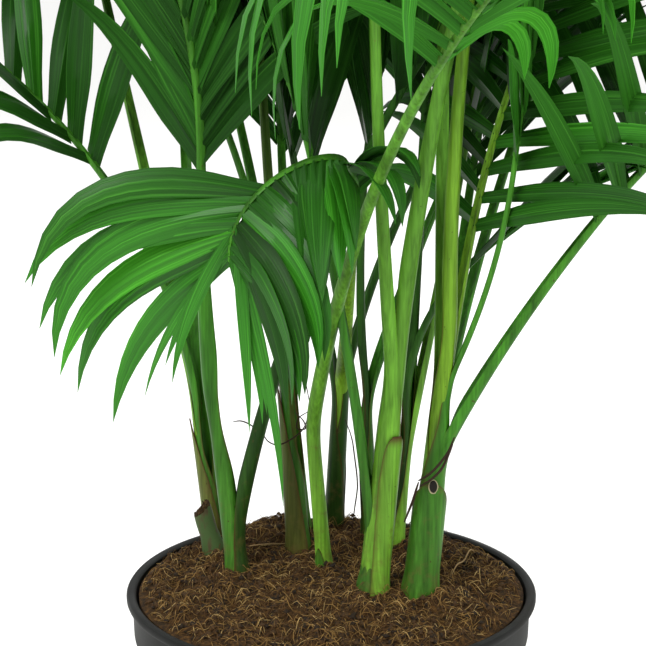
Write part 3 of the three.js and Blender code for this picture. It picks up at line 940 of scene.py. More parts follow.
@dataclass
class Leaflet:
    """One leaflet: a pleated lance with a narrow foot and a drawn-out tip."""

    leaf: Leaf
    line: LeafLine
    place: float
    hand: int
    seed: float

    def jitter(self, n: int) -> float:
        """Give a number from -1 to 1 that belongs to this leaflet."""
        return 2 * noise(self.seed, n) - 1

    def angles(self) -> tuple[float, float]:
        """Set how the leaflet stands on the rib.

        Returns:
            Its angle from the rib and its angle over the blade's plane, in radians.
        """
        leaf = self.leaf
        angle = leaf.open * (1 - leaf.closing * self.place) + RULE.spread * self.jitter(1)
        if self.hand < 0:
            off = (self.place - RULE.back_at) / RULE.back_span
            angle += leaf.left_back * max(0.0, 1 - off**2)
        lift = leaf.lift * (1 - RULE.flattening * self.place) + RULE.spread * self.jitter(2)
        skew = leaf.skew * (1 - self.place) ** RULE.skew_power
        lift += self.hand * (skew + leaf.lean)
        return math.radians(angle), math.radians(lift)

    def reach(self) -> float:
        """Set the leaflet's length from its place on the blade.

        Returns:
            The length, in millimetres.
        """
        leaf = self.leaf
        left = self.hand < 0
        reach = leaf.leaflet * (leaf.left_reach if left else 1)
        reach *= 1 + RULE.reach_change * self.jitter(3)
        reach *= 1 - leaf.fall * (self.place - leaf.peak) ** 2
        if left and leaf.left_short[0] <= self.place < leaf.left_short[1]:
            reach *= RULE.short
        return reach

    def centre(self) -> tuple[np.ndarray, np.ndarray, np.ndarray]:
        """Grow the leaflet's middle line.

        Returns:
            Places along it, headings along it, and the directions of its width.
        """
        leaf = self.leaf
        rib = np.array([leaf.stalk + self.place * leaf.blade])
        point, tangent, side, face = (rows[0] for rows in self.line.frames(rib))
        angle, lift = self.angles()
        outward = side * self.hand * math.cos(lift) + face * math.sin(lift)
        start = tangent * math.cos(angle) + outward * math.sin(angle)
        weep = leaf.weep * (1 + RULE.weep_change * self.jitter(4))
        rings = RULE.rings()
        pull = (weep * ((rings[1:] + rings[:-1]) / 2) ** RULE.weep_power)[:, None]
        heading = unit(start * (1 - pull) - UP * pull)
        root = side * self.hand * RULE.root_aside + face * RULE.root_up
        root = point + root * (1 - RULE.root_change * self.place)
        steps = heading * self.reach() * np.diff(rings)[:, None]
        places = np.vstack([root, root + np.cumsum(steps, axis=0)])
        heading = unit(np.vstack([heading[:1], heading[:-1] + heading[1:], heading[-1:]]))
        width = [tangent]
        for ahead in heading:
            width.append(unit(width[-1] - ahead * (ahead @ width[-1])))
        slant = np.clip(tangent @ heading[0] / (tangent @ width[1]), -RULE.slant, RULE.slant)
        slant = (slant * (1 - smooth(rings, 0.0, RULE.slants_by)))[:, None]
        return places, heading, np.array(width[1:]) + heading * slant

    def build(self, arrays: MeshArrays, finish: int) -> None:
        """Add the leaflet to a piece.

        Args:
            arrays: The piece that the frond is joined into.
            finish: Number of the upper face's finish; the next one is for the lower face.
        """
        places, heading, width = self.centre()
        part = RULE.rings()
        twist = math.radians(RULE.twist * self.jitter(5)) * part
        twist = twist + math.radians(RULE.tilt * self.jitter(6))
        upper = np.cross(heading, width) * self.hand
        cos, sin = np.cos(twist)[:, None], np.sin(twist)[:, None]
        width, upper = width * cos + upper * sin, upper * cos - width * sin
        half = RULE.half_width * self.leaf.wide * (1 + RULE.width_change * self.jitter(7))
        halves = half * RULE.outline(part)
        across = np.linspace(-1, 1, RULE.columns)
        foot, opened = RULE.fold
        keel = foot + (opened - foot) * smooth(part, 0.0, RULE.opens_by)
        fold = np.tan(np.radians(keel))
        pleat = np.where(np.arange(RULE.columns) % 2 == 0, 0.0, -RULE.pleat)
        drop = -fold[:, None] * np.abs(across)[None] * halves[:, None]
        drop = drop + pleat[None] * np.minimum(1, halves / RULE.pleat_from)[:, None]
        thick = (RULE.thickness * (1 - RULE.thinning * part))[:, None] / 2
        flat = places[:, None] + width[:, None] * (across[None] * halves[:, None])[..., None]
        top = flat + upper[:, None] * (drop + thick)[..., None]
        low = flat + upper[:, None] * (drop - thick)[..., None]
        rings = np.concatenate([top, low[:, ::-1]], axis=1)
        lines = np.concatenate([across, across[::-1]])
        sides = 2 * RULE.columns
        column = np.tile(np.arange(sides), RULE.steps)
        is_top = column < RULE.columns - 1
        if self.hand > 0:
            # On the right the rings run the other way, so that the faces still point outwards
            rings, lines = rings[:, ::-1], lines[::-1]
            is_top = (column >= RULE.columns) & (column < sides - 1)
        cap = np.full(sides, finish + 1)
        arrays.add_tube(
            rings,
            (places[0], places[-1]),
            [np.where(is_top, finish, finish + 1), cap, cap],
            across=np.concatenate([np.tile(lines, RULE.steps + 1), [0.0, 0.0]]),
            along=np.concatenate([np.repeat(part, sides), [0.0, 1.0]]),
            strand=np.full((RULE.steps + 1) * sides + 2, self.seed * RULE.strand),
        )


@dataclass(frozen=True)
class Tassel:
    """The slim leaflets that hang from the tip of a rib."""

    length: float = 120.0
    shortest: float = 0.7
    length_change: float = 0.6
    narrowest: float = 4.0
    open_change: float = 36.0
    wide: float = 0.45
    weep: float = 0.7
    last_at: float = 0.99
    spacing: float = 0.02
    first_seed: int = 30

    def leaflets(self, leaf: Leaf, line: LeafLine, number: int) -> list[Leaflet]:
        """Give the leaflets of one tassel.

        Args:
            leaf: The leaf.
            line: Its line.
            number: The leaf's place in the list.

        Returns:
            The leaflets, from both sides of the rib in turn.
        """
        slim = replace(leaf, wide=self.wide, weep=self.weep, fall=0.0, lift=0.0, lean=0.0,
                       skew=0.0, left_back=0.0, left_reach=1.0, left_short=(0.0, 0.0))
        found = []
        for n in range(leaf.tassel):
            share = self.shortest + self.length_change * noise(number, n + 2)
            angle = self.narrowest + self.open_change * noise(number, n + 20)
            own = replace(slim, leaflet=self.length * share, open=angle)
            place = self.last_at - self.spacing * n
            seed = number * LEAF_SEEDS + self.first_seed + n
            found.append(Leaflet(own, line, place, 1 if n % 2 else -1, seed))
        return found


# Finishes


def feed(
    tree: bpy.types.NodeTree, node: bpy.types.Node, inputs: dict[str | int, object]
) -> None:
    """Set a node's own inputs, or link them.

    Args:
        tree: The material's node tree.
        node: The node.
        inputs: For each input, a value or the output socket that feeds it.
    """
    for key, value in inputs.items():
        if isinstance(value, bpy.types.NodeSocket):
            tree.links.new(value, node.inputs[key])
        else:
            node.inputs[key].default_value = value


def add_node(
    tree: bpy.types.NodeTree,
    kind: str,
    settings: dict[str, object] | None = None,
    inputs: dict[str | int, object] | None = None,
    stops: tuple[tuple[float, str], ...] = (),
) -> bpy.types.Node:
    """Add a node with its settings, values and links.

    Args:
        tree: The material's node tree.
        kind: Node type, such as "ShaderNodeTexNoise".
        settings: Properties of the node.
        inputs: For each input, a value or the output socket that feeds it.
        stops: Places and sRGB colours, where the node is a colour ramp.

    Returns:
        The new node.
    """
    node = tree.nodes.new(kind)
    for key, value in (settings or {}).items():
        setattr(node, key, value)
    feed(tree, node, inputs or {})
    if stops:
        elements = node.color_ramp.elements
        while len(elements) < len(stops):
            elements.new(0.5)
        for element, (place, code) in zip(elements, stops):
            element.position = place
            element.color = linear(code)
    return node


def new_material(name: str) -> tuple[bpy.types.Material, bpy.types.NodeTree, bpy.types.Node]:
    """Make a material with one shader.

    Args:
        name: The material's name.

    Returns:
        The material, its nodes and its shader.
    """
    material = bpy.data.materials.new(name)
    material.use_nodes = True
    tree = material.node_tree
    tree.nodes.clear()
    shader = add_node(tree, "ShaderNodeBsdfPrincipled")
    add_node(tree, "ShaderNodeOutputMaterial", inputs={"Surface": shader.outputs["BSDF"]})
    return material, tree, shader


@dataclass(frozen=True)
class LeafFinish:
    """Living leaf blade: waxed green tissue whose veins and painted pleat light and shade make
    paler and darker lines.
    """

    name: str
    colour: str
    vein: str
    roughness: float = 0.36
    gloss: float = 0.28
    # Half a leaflet is 8.2 mm wide, so a wave is 1.2 mm. The real veins stand about 0.5 mm
    # apart, which is too fine to show, so they are drawn coarser.
    waves: float = 7.0
    length: float = 0.9

    def material(self) -> bpy.types.Material:
        """Make the material: long veins with painted pleat light and shade, a foot darkened by
        painted shade, and a gloss that breaks on the veins.

        Returns:
            The material.
        """
        material, tree, shader = new_material(self.name)
        across, along, strand = (
            add_node(tree, "ShaderNodeAttribute", {"attribute_name": name}).outputs["Fac"]
            for name in ("across", "along", "strand")
        )
        place = add_node(
            tree, "ShaderNodeCombineXYZ", inputs={"X": across, "Y": along, "Z": strand}
        )
        drawn = add_node(
            tree,
            "ShaderNodeMapping",
            inputs={"Vector": place.outputs["Vector"], "Scale": (self.waves, self.length, 1.0)},
        )
        veins = add_node(
            tree,
            "ShaderNodeTexNoise",
            inputs={"Vector": drawn.outputs["Vector"], "Scale": 1.0, "Detail": 3.0},
        ).outputs["Fac"]
        colour = add_node(
            tree,
            "ShaderNodeValToRGB",
            inputs={"Fac": veins},
            stops=((0.3, self.colour), (0.56, self.colour), (0.74, self.vein)),
        )
        # Bands along the veins: partly the veins' own tone, partly painted light and shade of the
        # pleats, lighter on their ridges and darker in their grooves
        pleats = add_node(
            tree,
            "ShaderNodeMapRange",
            inputs={"Value": veins, "From Min": 0.34, "From Max": 0.66,
                    "To Min": 0.74, "To Max": 1.34},
        )
        # Painted shade: each leaflet is darker towards its foot, which sits in the shade of the
        # crown
        foot = add_node(
            tree,
            "ShaderNodeMapRange",
            inputs={"Value": along, "From Max": 0.5, "To Min": 0.7, "To Max": 1.1},
        )
        # Painted light and shade of the pleats, times the painted shade at the foot
        depth = add_node(
            tree,
            "ShaderNodeMath",
            {"operation": "MULTIPLY"},
            {0: pleats.outputs["Result"], 1: foot.outputs["Result"]},
        )
        toned = add_node(
            tree,
            "ShaderNodeMix",
            {"data_type": "RGBA", "blend_type": "MULTIPLY"},
            {"Factor": 1.0, "A": colour.outputs["Color"], "B": depth.outputs["Value"]},
        )
        bump = add_node(
            tree,
            "ShaderNodeBump",
            inputs={"Height": veins, "Strength": 0.35, "Distance": 0.6 * MM},
        )
        rough = add_node(
            tree,
            "ShaderNodeMapRange",
            inputs={"Value": veins, "From Min": 0.3, "From Max": 0.7,
                    "To Min": self.roughness - 0.06, "To Max": self.roughness + 0.1},
        )
        feed(tree, shader, {
            "Base Color": toned.outputs["Result"],
            "Roughness": rough.outputs["Result"],
            "Normal": bump.outputs["Normal"],
            "IOR": 1.4,
            "Specular IOR Level": self.gloss,
        })
        return material


@dataclass(frozen=True)
class StemFinish:
    """Living sheath and stalk: smooth wax over long fibres, brown where a margin has dried."""

    name: str
    foot: str
    middle: str
    high: str
    speckle: str = "#3b3a17"
    stain: str = "#5c4f2a"
    margin: str = "#4a3218"
    roughness: float = 0.42
    # The real fibres are about 0.5 mm apart, which is too fine to show, so they are coarser
    fibre_mm: float = 1.6
    patch_mm: float = 11.0
    blotch_mm: float = 7.0
    spot_mm: float = 2.4

    def material(self) -> bpy.types.Material:
        """Make the material from its height on the stem, long fibres, speckles and margins.

        Returns:
            The material.
        """
        material, tree, shader = new_material(self.name)
        rise, margin = (
            add_node(tree, "ShaderNodeAttribute", {"attribute_name": name}).outputs["Fac"]
            for name in ("rise", "margin")
        )
        place = add_node(tree, "ShaderNodeTexCoord").outputs["Object"]
        body = add_node(
            tree,
            "ShaderNodeValToRGB",
            inputs={"Fac": rise},
            stops=((0.0, self.foot), (0.3, self.middle), (1.0, self.high)),
        )
        stretched = add_node(
            tree, "ShaderNodeMapping", inputs={"Vector": place, "Scale": (1, 1, 0.06)}
        )
        fibres = add_node(
            tree,
            "ShaderNodeTexNoise",
            inputs={"Vector": stretched.outputs["Vector"], "Scale": 1 / (self.fibre_mm * MM),
                    "Detail": 3.0},
        )
        streaks = add_node(
            tree,
            "ShaderNodeMapRange",
            inputs={"Value": fibres.outputs["Fac"], "From Min": 0.3, "From Max": 0.7,
                    "To Min": 0.68, "To Max": 1.26},
        )
        long_patches = add_node(
            tree,
            "ShaderNodeTexNoise",
            inputs={"Vector": stretched.outputs["Vector"], "Scale": 1 / (self.patch_mm * MM)},
        )
        patches = add_node(
            tree,
            "ShaderNodeMapRange",
            inputs={"Value": long_patches.outputs["Fac"], "From Min": 0.34, "From Max": 0.66,
                    "To Min": 0.62, "To Max": 1.3},
        )
        tone = add_node(
            tree,
            "ShaderNodeMath",
            {"operation": "MULTIPLY"},
            {0: streaks.outputs["Result"], 1: patches.outputs["Result"]},
        )
        toned = add_node(
            tree,
            "ShaderNodeMix",
            {"data_type": "RGBA", "blend_type": "MULTIPLY"},
            {"Factor": 1.0, "A": body.outputs["Color"], "B": tone.outputs["Value"]},
        )
        spots = add_node(
            tree,
            "ShaderNodeTexNoise",
            inputs={"Vector": place, "Scale": 1 / (self.spot_mm * MM), "Detail": 2.0},
        )
        spotted = add_node(
            tree,
            "ShaderNodeMapRange",
            inputs={"Value": spots.outputs["Fac"], "From Min": 0.7, "From Max": 0.8},
        )
        low = add_node(
            tree,
            "ShaderNodeMapRange",
            inputs={"Value": rise, "From Max": 0.3, "To Min": 0.45, "To Max": 0.7},
        )
        blotches = add_node(
            tree,
            "ShaderNodeTexNoise",
            inputs={"Vector": place, "Scale": 1 / (self.blotch_mm * MM), "Detail": 6.0,
                    "Roughness": 0.62},
        )
        stained = add_node(
            tree,
            "ShaderNodeMapRange",
            inputs={"Value": blotches.outputs["Fac"], "From Min": low.outputs["Result"],
                    "From Max": 0.85, "To Max": 0.9},
        )
        colour = toned.outputs["Result"]
        for share, code in (
            (spotted.outputs["Result"], self.speckle),
            (stained.outputs["Result"], self.stain),
            (margin, self.margin),
        ):
            over = add_node(
                tree,
                "ShaderNodeMix",
                {"data_type": "RGBA"},
                {"Factor": share, "A": colour, "B": linear(code)},
            )
            colour = over.outputs["Result"]
        bump = add_node(
            tree,
            "ShaderNodeBump",
            inputs={"Height": fibres.outputs["Fac"], "Strength": 0.25, "Distance": 0.4 * MM},
        )
        feed(tree, shader, {
            "Base Color": colour,
            "Normal": bump.outputs["Normal"],
            "Roughness": self.roughness,
            "IOR": 1.45,
            "Specular IOR Level": 0.16,
        })
        return material


@dataclass(frozen=True)
class StumpFinish:
    """Dying cane skin: dull green that goes brown and dark in patches drawn out along it."""

    name: str = "stump_skin"
    green: str = "#3e5826"
    brown: str = "#4a4022"
    dark: str = "#241d0f"
    patch_mm: float = 5.3

    def material(self) -> bpy.types.Material:
        """Make the material from patches drawn out along the cane.

        Returns:
            The material.
        """
        material, tree, shader = new_material(self.name)
        place = add_node(tree, "ShaderNodeTexCoord")
        drawn = add_node(
            tree,
            "ShaderNodeMapping",
            inputs={"Vector": place.outputs["Object"], "Scale": (1, 1, 0.35)},
        )
        patches = add_node(
            tree,
            "ShaderNodeTexNoise",
            inputs={"Vector": drawn.outputs["Vector"], "Scale": 1 / (self.patch_mm * MM),
                    "Detail": 5.0},
        )
        colour = add_node(
            tree,
            "ShaderNodeValToRGB",
            inputs={"Fac": patches.outputs["Fac"]},
            stops=((0.46, self.green), (0.58, self.brown), (0.72, self.dark)),
        )
        bump = add_node(
            tree,
            "ShaderNodeBump",
            inputs={"Height": patches.outputs["Fac"], "Strength": 0.4, "Distance": 0.6 * MM},
        )
        feed(tree, shader, {
            "Base Color": colour.outputs["Color"],
            "Normal": bump.outputs["Normal"],
            "Roughness": 0.7,
        })
        return material


@dataclass(frozen=True)
class CoirFinish:
    """Moist coir: matted husk fibre and pith, from dark crumbs to straw."""

    name: str
    dark: str
    middle: str
    light: str
    grain_mm: float = 3.0

    def material(self) -> bpy.types.Material:
        """Make the material: rough clumps of grains, darkest in their hollows as painted shade.

        Returns:
            The material.
        """
        material, tree, shader = new_material(self.name)
        place = add_node(tree, "ShaderNodeTexCoord")
        clumps = add_node(
            tree,
            "ShaderNodeTexNoise",
            inputs={"Vector": place.outputs["Object"], "Scale": 1 / (self.grain_mm * MM),
                    "Detail": 6.0, "Roughness": 0.7},
        )
        # The colour follows the bump's height: the coir's own range from dark crumbs to straw,
        # laid so that the hollows get painted shade
        colour = add_node(
            tree,
            "ShaderNodeValToRGB",
            inputs={"Fac": clumps.outputs["Fac"]},
            stops=((0.34, self.dark), (0.52, self.middle), (0.7, self.light)),
        )
        bump = add_node(
            tree,
            "ShaderNodeBump",
            inputs={"Height": clumps.outputs["Fac"], "Strength": 0.8, "Distance": 1.2 * MM},
        )
        feed(tree, shader, {
            "Base Color": colour.outputs["Color"],
            "Normal": bump.outputs["Normal"],
            "Roughness": 0.95,
            "Specular IOR Level": 0.2,
        })
        return material


@dataclass(frozen=True)
class EvenFinish:
    """A small natural piece of one dull colour, such as a dry fibre or a crumb."""

    name: str
    colour: str
    roughness: float = 0.85

    def material(self) -> bpy.types.Material:
        """Make the material: an even dull colour, as such a piece is too small for a pattern.

        Returns:
            The material.
        """
        material, tree, shader = new_material(self.name)
        feed(tree, shader, {
            "Base Color": linear(self.colour),
            "Roughness": self.roughness,
            "Specular IOR Level": 0.3,
        })
        return material


@dataclass(frozen=True)
class MouldedPlasticFinish:
    """Black polypropylene, blow moulded: a satin skin with a faint pebble, and dust in clouds."""

    name: str = "moulded_polypropylene"
    colour: str = "#0c0d0a"
    dust: str = "#2e2a20"
    roughness: float = 0.58
    # The real grain is about 0.3 mm, which is too fine to show, so it is drawn coarser
    pebble_mm: float = 1.4
    cloud_mm: float = 55.0

    def material(self) -> bpy.types.Material:
        """Make the material: dust dulls and lightens it, and the pebble breaks its gloss.

        Returns:
            The material.
        """
        material, tree, shader = new_material(self.name)
        place = add_node(tree, "ShaderNodeTexCoord").outputs["Object"]
        clouds = add_node(
            tree,
            "ShaderNodeTexNoise",
            inputs={"Vector": place, "Scale": 1 / (self.cloud_mm * MM), "Detail": 5.0},
        )
        dusty = add_node(
            tree,
            "ShaderNodeMapRange",
            inputs={"Value": clouds.outputs["Fac"], "From Min": 0.5, "From Max": 0.78,
                    "To Max": 0.35},
        )
        colour = add_node(
            tree,
            "ShaderNodeMix",
            {"data_type": "RGBA"},
            {"Factor": dusty.outputs["Result"], "A": linear(self.colour), "B": linear(self.dust)},
        )
        pebble = add_node(
            tree,
            "ShaderNodeTexNoise",
            inputs={"Vector": place, "Scale": 1 / (self.pebble_mm * MM), "Detail": 2.0},
        )
        bump = add_node(
            tree,
            "ShaderNodeBump",
            inputs={"Height": pebble.outputs["Fac"], "Strength": 0.2, "Distance": 0.3 * MM},
        )
        rough = add_node(
            tree,
            "ShaderNodeMapRange",
            inputs={"Value": clouds.outputs["Fac"], "From Min": 0.3, "From Max": 0.8,
                    "To Min": self.roughness - 0.06, "To Max": self.roughness + 0.22},
        )
        feed(tree, shader, {
            "Base Color": colour.outputs["Result"],
            "Roughness": rough.outputs["Result"],
            "Normal": bump.outputs["Normal"],
            "IOR": 1.49,
            "Specular IOR Level": 0.22,
        })
        return material


# The upper and the lower face of each green, from deep to bright
GREENS = [
    LeafFinish("leaf_deep_upper", "#173a0c", "#285017", gloss=0.15),
    LeafFinish("leaf_deep_lower", "#1c4610", "#2c5a1a", 0.52, 0.1),
    LeafFinish("leaf_middle_upper", "#1f5010", "#32681c", gloss=0.22),
    LeafFinish("leaf_middle_lower", "#255a14", "#366c20", 0.52, 0.1),
    LeafFinish("leaf_fresh_upper", "#276612", "#3b7e20"),
    LeafFinish("leaf_fresh_lower", "#2e6e1a", "#407e28", 0.52, 0.1),
    LeafFinish("leaf_bright_upper", "#327c15", "#4a9628"),
    LeafFinish("leaf_bright_lower", "#38841e", "#4c922e", 0.52, 0.1),
]

# In the order of Tint
STEMS = [
    StemFinish("stem_fresh", "#74a832", "#588a28", "#4a7c26"),
    StemFinish("stem_middle", "#3f6e20", "#346c1a", "#386e1a"),
    StemFinish("stem_deep", "#22380f", "#244a12", "#2a5a16"),
    StemFinish("stem_pale", "#688c2e", "#689222", "#5e8c28"),
    StemFinish("stem_aged", "#585c26", "#4e6222", "#3a661c"),
]


# Sub-assemblies


def settle(piece: bpy.types.Object, nodes: list[str]) -> None:
    """Tie a finished piece to the frame.

    Args:
        piece: The piece.
        nodes: The CAD nodes that it stands for.
    """
    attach(piece, "root")
    if nodes:
        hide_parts(*nodes)
    LOG.info("%s: %d faces", piece.name, len(piece.data.polygons))


def deselect() -> None:
    """Leave nothing selected, so that an operator acts only on what is added next."""
    if bpy.context.object and bpy.context.object.mode != "OBJECT":
        bpy.ops.object.mode_set(mode="OBJECT")
    bpy.ops.object.select_all(action="DESELECT")


def smooth_by_angle(piece: bpy.types.Object, degrees: float) -> None:
    """Shade a piece smooth, with its sharper edges kept crisp.

    Args:
        piece: The piece.
        degrees: The angle from which an edge is sharp.
    """
    deselect()
    piece.select_set(True)
    bpy.context.view_layer.objects.active = piece
    bpy.ops.object.shade_smooth_by_angle(angle=math.radians(degrees))
    piece.select_set(False)


def raise_wall(
    start: tuple[float, float], outline: tuple[tuple[float, float], ...]
) -> None:
    """Extrude the selected round face through an outline.

    Args:
        start: The face's radius and height, in millimetres.
        outline: The radii and heights to go through.
    """
    radius, height = start
    for new_radius, new_height in outline:
        bpy.ops.mesh.extrude_region_move(
            TRANSFORM_OT_translate={"value": (0, 0, (new_height - height) * MM)}
        )
        ratio = new_radius / radius
        bpy.ops.transform.resize(value=(ratio, ratio, 1))
        radius, height = new_radius, new_height


def finish_modifier(piece: bpy.types.Object, kind: str, **settings: object) -> None:
    """Add a modifier and apply it at once.

    Args:
        piece: The piece to change.
        kind: The modifier's type.
        **settings: Its properties.
    """
    modifier = piece.modifiers.new(kind.lower(), kind)
    for key, value in settings.items():
        setattr(modifier, key, value)
    deselect()
    piece.select_set(True)
    bpy.context.view_layer.objects.active = piece
    bpy.ops.object.modifier_apply(modifier=modifier.name)
    piece.select_set(False)


@dataclass
class Pot:
    """Round nursery pot: tapered wall, stiffening band and a rolled rim."""

    sides: int = 128
    foot: float = 92.0
    outside: tuple[tuple[float, float], ...] = (
        (95.0, 3.2), (98.2, 34.0), (98.9, 36.0), (102.0, 68.0), (108.5, 132.0), (115.4, 202.0),
        (116.6, 204.6), (120.3, 206.4), (120.8, 209.0), (121.4, 228.0), (122.2, 229.6),
        (124.4, 230.2), (125.0, 231.6), (125.0, 233.4), (124.2, 234.6), (122.6, 235.0),
    )
    inside: tuple[tuple[float, float], ...] = (
        (120.4, 234.8), (119.2, 233.6), (118.8, 229.0), (118.0, 208.0), (113.2, 204.0),
        (92.6, 5.0), (91.0, 4.0),
    )
    soft_edge: float = 0.7
    drains: int = 6
    drain_radius: float = 6.0
    drain_circle: float = 74.0
    drill_sides: int = 24
    drill_depth: float = 20.0

    def build(self) -> None:
        """Draw the wall up from the foot, over the rim and down to the inner floor."""
        deselect()
        bpy.ops.mesh.primitive_circle_add(
            vertices=self.sides, radius=self.foot * MM, fill_type="NGON"
        )
        pot = bpy.context.object
        pot.name = "nursery_pot"
        bpy.ops.object.mode_set(mode="EDIT")
        bpy.ops.mesh.select_all(action="SELECT")
        raise_wall((self.foot, 0.0), self.outside + self.inside)
        bpy.ops.mesh.select_all(action="SELECT")
        bpy.ops.mesh.normals_make_consistent(inside=False)
        bpy.ops.object.mode_set(mode="OBJECT")
        self.drill(pot)
        finish_modifier(pot, "BEVEL", width=self.soft_edge * MM, segments=2,
                        limit_method="ANGLE", angle_limit=math.radians(50))
        smooth_by_angle(pot, 40)
        pot.data.materials.append(MouldedPlasticFinish().material())
        settle(pot, ["pot"])

    def drill(self, pot: bpy.types.Object) -> None:
        """Cut the drain holes through the floor.

        Args:
            pot: The pot.
        """
        for n in range(self.drains):
            turn = math.radians((n + 0.5) * 360 / self.drains)
            x, y = self.drain_circle * math.cos(turn), self.drain_circle * math.sin(turn)
            deselect()
            bpy.ops.mesh.primitive_cylinder_add(
                vertices=self.drill_sides,
                radius=self.drain_radius * MM,
                depth=self.drill_depth * MM,
                location=(x * MM, y * MM, 0),
            )
            drill = bpy.context.object
            finish_modifier(pot, "BOOLEAN", object=drill, operation="DIFFERENCE", solver="EXACT")
            bpy.data.objects.remove(drill)


@dataclass
class Medium:
    """Coir growing medium: a heaped, matted top with loose crumbs and husk fibres.

    A pair of numbers is the least and the most of a size, unless it says otherwise.
    """

    sides: int = 120
    foot_radius: float = 92.2
    floor: float = 4.3
    wall: tuple[tuple[float, float], ...] = ((112.9, 203.6), (117.6, 207.8))
    rim: tuple[float, float] = (117.4, 230.4)
    rings: int = 34
    inset_share: float = 0.985
    sink: float = 0.6
    edge_rise: float = 2.4
    edge_over: tuple[float, float] = (92.0, 112.0)
    calm_edge: float = 7.0
    waves: tuple[tuple[float, float], ...] = ((46.0, 1.6), (21.0, 1.5), (9.0, 1.0), (4.6, 0.55))
    waves_each: int = 7
    wave_share: float = 0.38
    heap_rise: float = 3.2
    heap_width: float = 2.3
    mound_at: tuple[float, float] = (-42.0, 92.0)
    mound_rise: float = 6.5
    mound_width: float = 24.0
    crumbs: int = 3800
    crumb_reach: float = 113.0
    crumb_size: tuple[float, float] = (0.8, 2.6)
    crumb_rough: tuple[float, float] = (0.6, 1.2)
    crumb_flat: float = 0.8
    crumb_lift: float = 0.15
    crumb_dark: float = 0.45
    fibres: int = 6400
    fibre_reach: float = 112.0
    fibre_keep: float = 115.5
    fibre_length: tuple[float, float] = (4.0, 15.0)
    fibre_radius: tuple[float, float] = (0.12, 0.27)
    fibre_curl: float = 1.6
    fibre_lift: float = 0.15
    fibre_hump: tuple[float, float] = (0.3, 2.4)
    fibre_arch: tuple[float, float] = (2.0, 5.0)
    fibre_flat: float = 0.93
    fibre_colours: tuple[float, float, float] = (0.56, 0.34, 0.1)
    fibre_steps: int = 5
    seed: int = 11

    def lumps(self, x: np.ndarray, y: np.ndarray) -> np.ndarray:
        """Give the relief over the even mound: clumps, hollows, and heaps at the stems.

        Args:
            x: Places across, in millimetres.
            y: Places in depth.

        Returns:
            Heights to add, in millimetres.
        """
        rise = np.zeros_like(x)
        rng = np.random.default_rng(self.seed)
        for length, height in self.waves:
            for _ in range(self.waves_each):
                turn, phase = rng.uniform(0, 2 * math.pi, 2)
                wave = (x * math.cos(turn) + y * math.sin(turn)) * 2 * math.pi / length
                rise += height * self.wave_share * np.sin(wave + phase)
        for cane in CANES.values():
            far = np.hypot(x - cane.x, y - cane.y)
            rise += self.heap_rise * np.exp(-((far / (cane.foot * self.heap_width)) ** 2))
        far = np.hypot(x - self.mound_at[0], y - self.mound_at[1])
        rise += self.mound_rise * np.exp(-((far / self.mound_width) ** 2))
        radius = self.rim[0]
        return rise * (1 - smooth(np.hypot(x, y), radius - self.calm_edge, radius))

    def top(self, x: np.ndarray, y: np.ndarray) -> np.ndarray:
        """Give the height of the finished surface."""
        edge = self.edge_rise * smooth(np.hypot(x, y), *self.edge_over)
        return GROUND.height(x, y) - self.sink + edge + self.lumps(x, y)

    def build(self) -> None:
        """Make the body of the medium and what lies loose on it."""
        materials = [
            CoirFinish("coir_matted", "#1d140a", "#3a2812", "#6b4a22").material(),
            EvenFinish("coir_crumb_dark", "#221709").material(),
            EvenFinish("coir_crumb_brown", "#3d2a13").material(),
            EvenFinish("coir_fibre_brown", "#553a1a").material(),
            EvenFinish("coir_fibre_straw", "#8a6a38").material(),
            EvenFinish("coir_fibre_pale", "#b0935c").material(),
        ]
        self.build_body(materials[0])
        self.build_loose(materials[1:])

    def build_body(self, material: bpy.types.Material) -> None:
        """Make the filling of the pot, with its relief.

        Args:
            material: The matted coir.
        """
        deselect()
        bpy.ops.mesh.primitive_circle_add(
            vertices=self.sides,
            radius=self.foot_radius * MM,
            fill_type="NGON",
            location=(0, 0, self.floor * MM),
        )
        body = bpy.context.object
        body.name = "coir_body"
        bpy.ops.object.mode_set(mode="EDIT")
        bpy.ops.mesh.select_all(action="SELECT")
        raise_wall((self.foot_radius, self.floor), (*self.wall, self.rim))
        radius, height = self.rim
        step = radius * self.inset_share / self.rings
        for _ in range(self.rings):
            bpy.ops.mesh.inset(thickness=step * MM, depth=0)
        bpy.ops.mesh.select_all(action="SELECT")
        bpy.ops.mesh.normals_make_consistent(inside=False)
        bpy.ops.object.mode_set(mode="OBJECT")
        bpy.ops.object.transform_apply(location=True, rotation=True, scale=True)
        flat = np.zeros(len(body.data.vertices) * 3, np.float32)
        body.data.vertices.foreach_get("co", flat)
        rows = flat.reshape(-1, 3).astype(float) / MM
        upper = rows[:, 2] > height - 1
        rows[upper, 2] = self.top(rows[upper, 0], rows[upper, 1])
        body.data.vertices.foreach_set("co", (rows * MM).astype(np.float32).ravel())
        body.data.update()
        smooth_by_angle(body, 60)
        body.data.materials.append(material)
        settle(body, ["growing_medium"])

    def build_loose(self, materials: list[bpy.types.Material]) -> None:
        """Scatter crumbs and fibres over the top.

        Args:
            materials: Two crumb colours and three fibre colours.
        """
        rng = np.random.default_rng(self.seed + 1)
        crumbs = MeshArrays()
        for _ in range(self.crumbs):
            self.add_crumb(crumbs, rng)
        settle(crumbs.build("coir_crumbs", materials[:2]), [])
        fibres = MeshArrays()
        for _ in range(self.fibres):
            self.add_fibre(fibres, rng)
        settle(fibres.build("coir_fibres", materials[2:]), [])

    def spot(self, rng: np.random.Generator, reach: float) -> tuple[float, float]:
        """Pick a place on the top.

        Args:
            rng: The seeded source of chance.
            reach: How far from the middle, in millimetres.

        Returns:
            The place across and in depth.
        """
        turn = rng.uniform(0, 2 * math.pi)
        out = reach * math.sqrt(rng.uniform())
        return out * math.cos(turn), out * math.sin(turn)

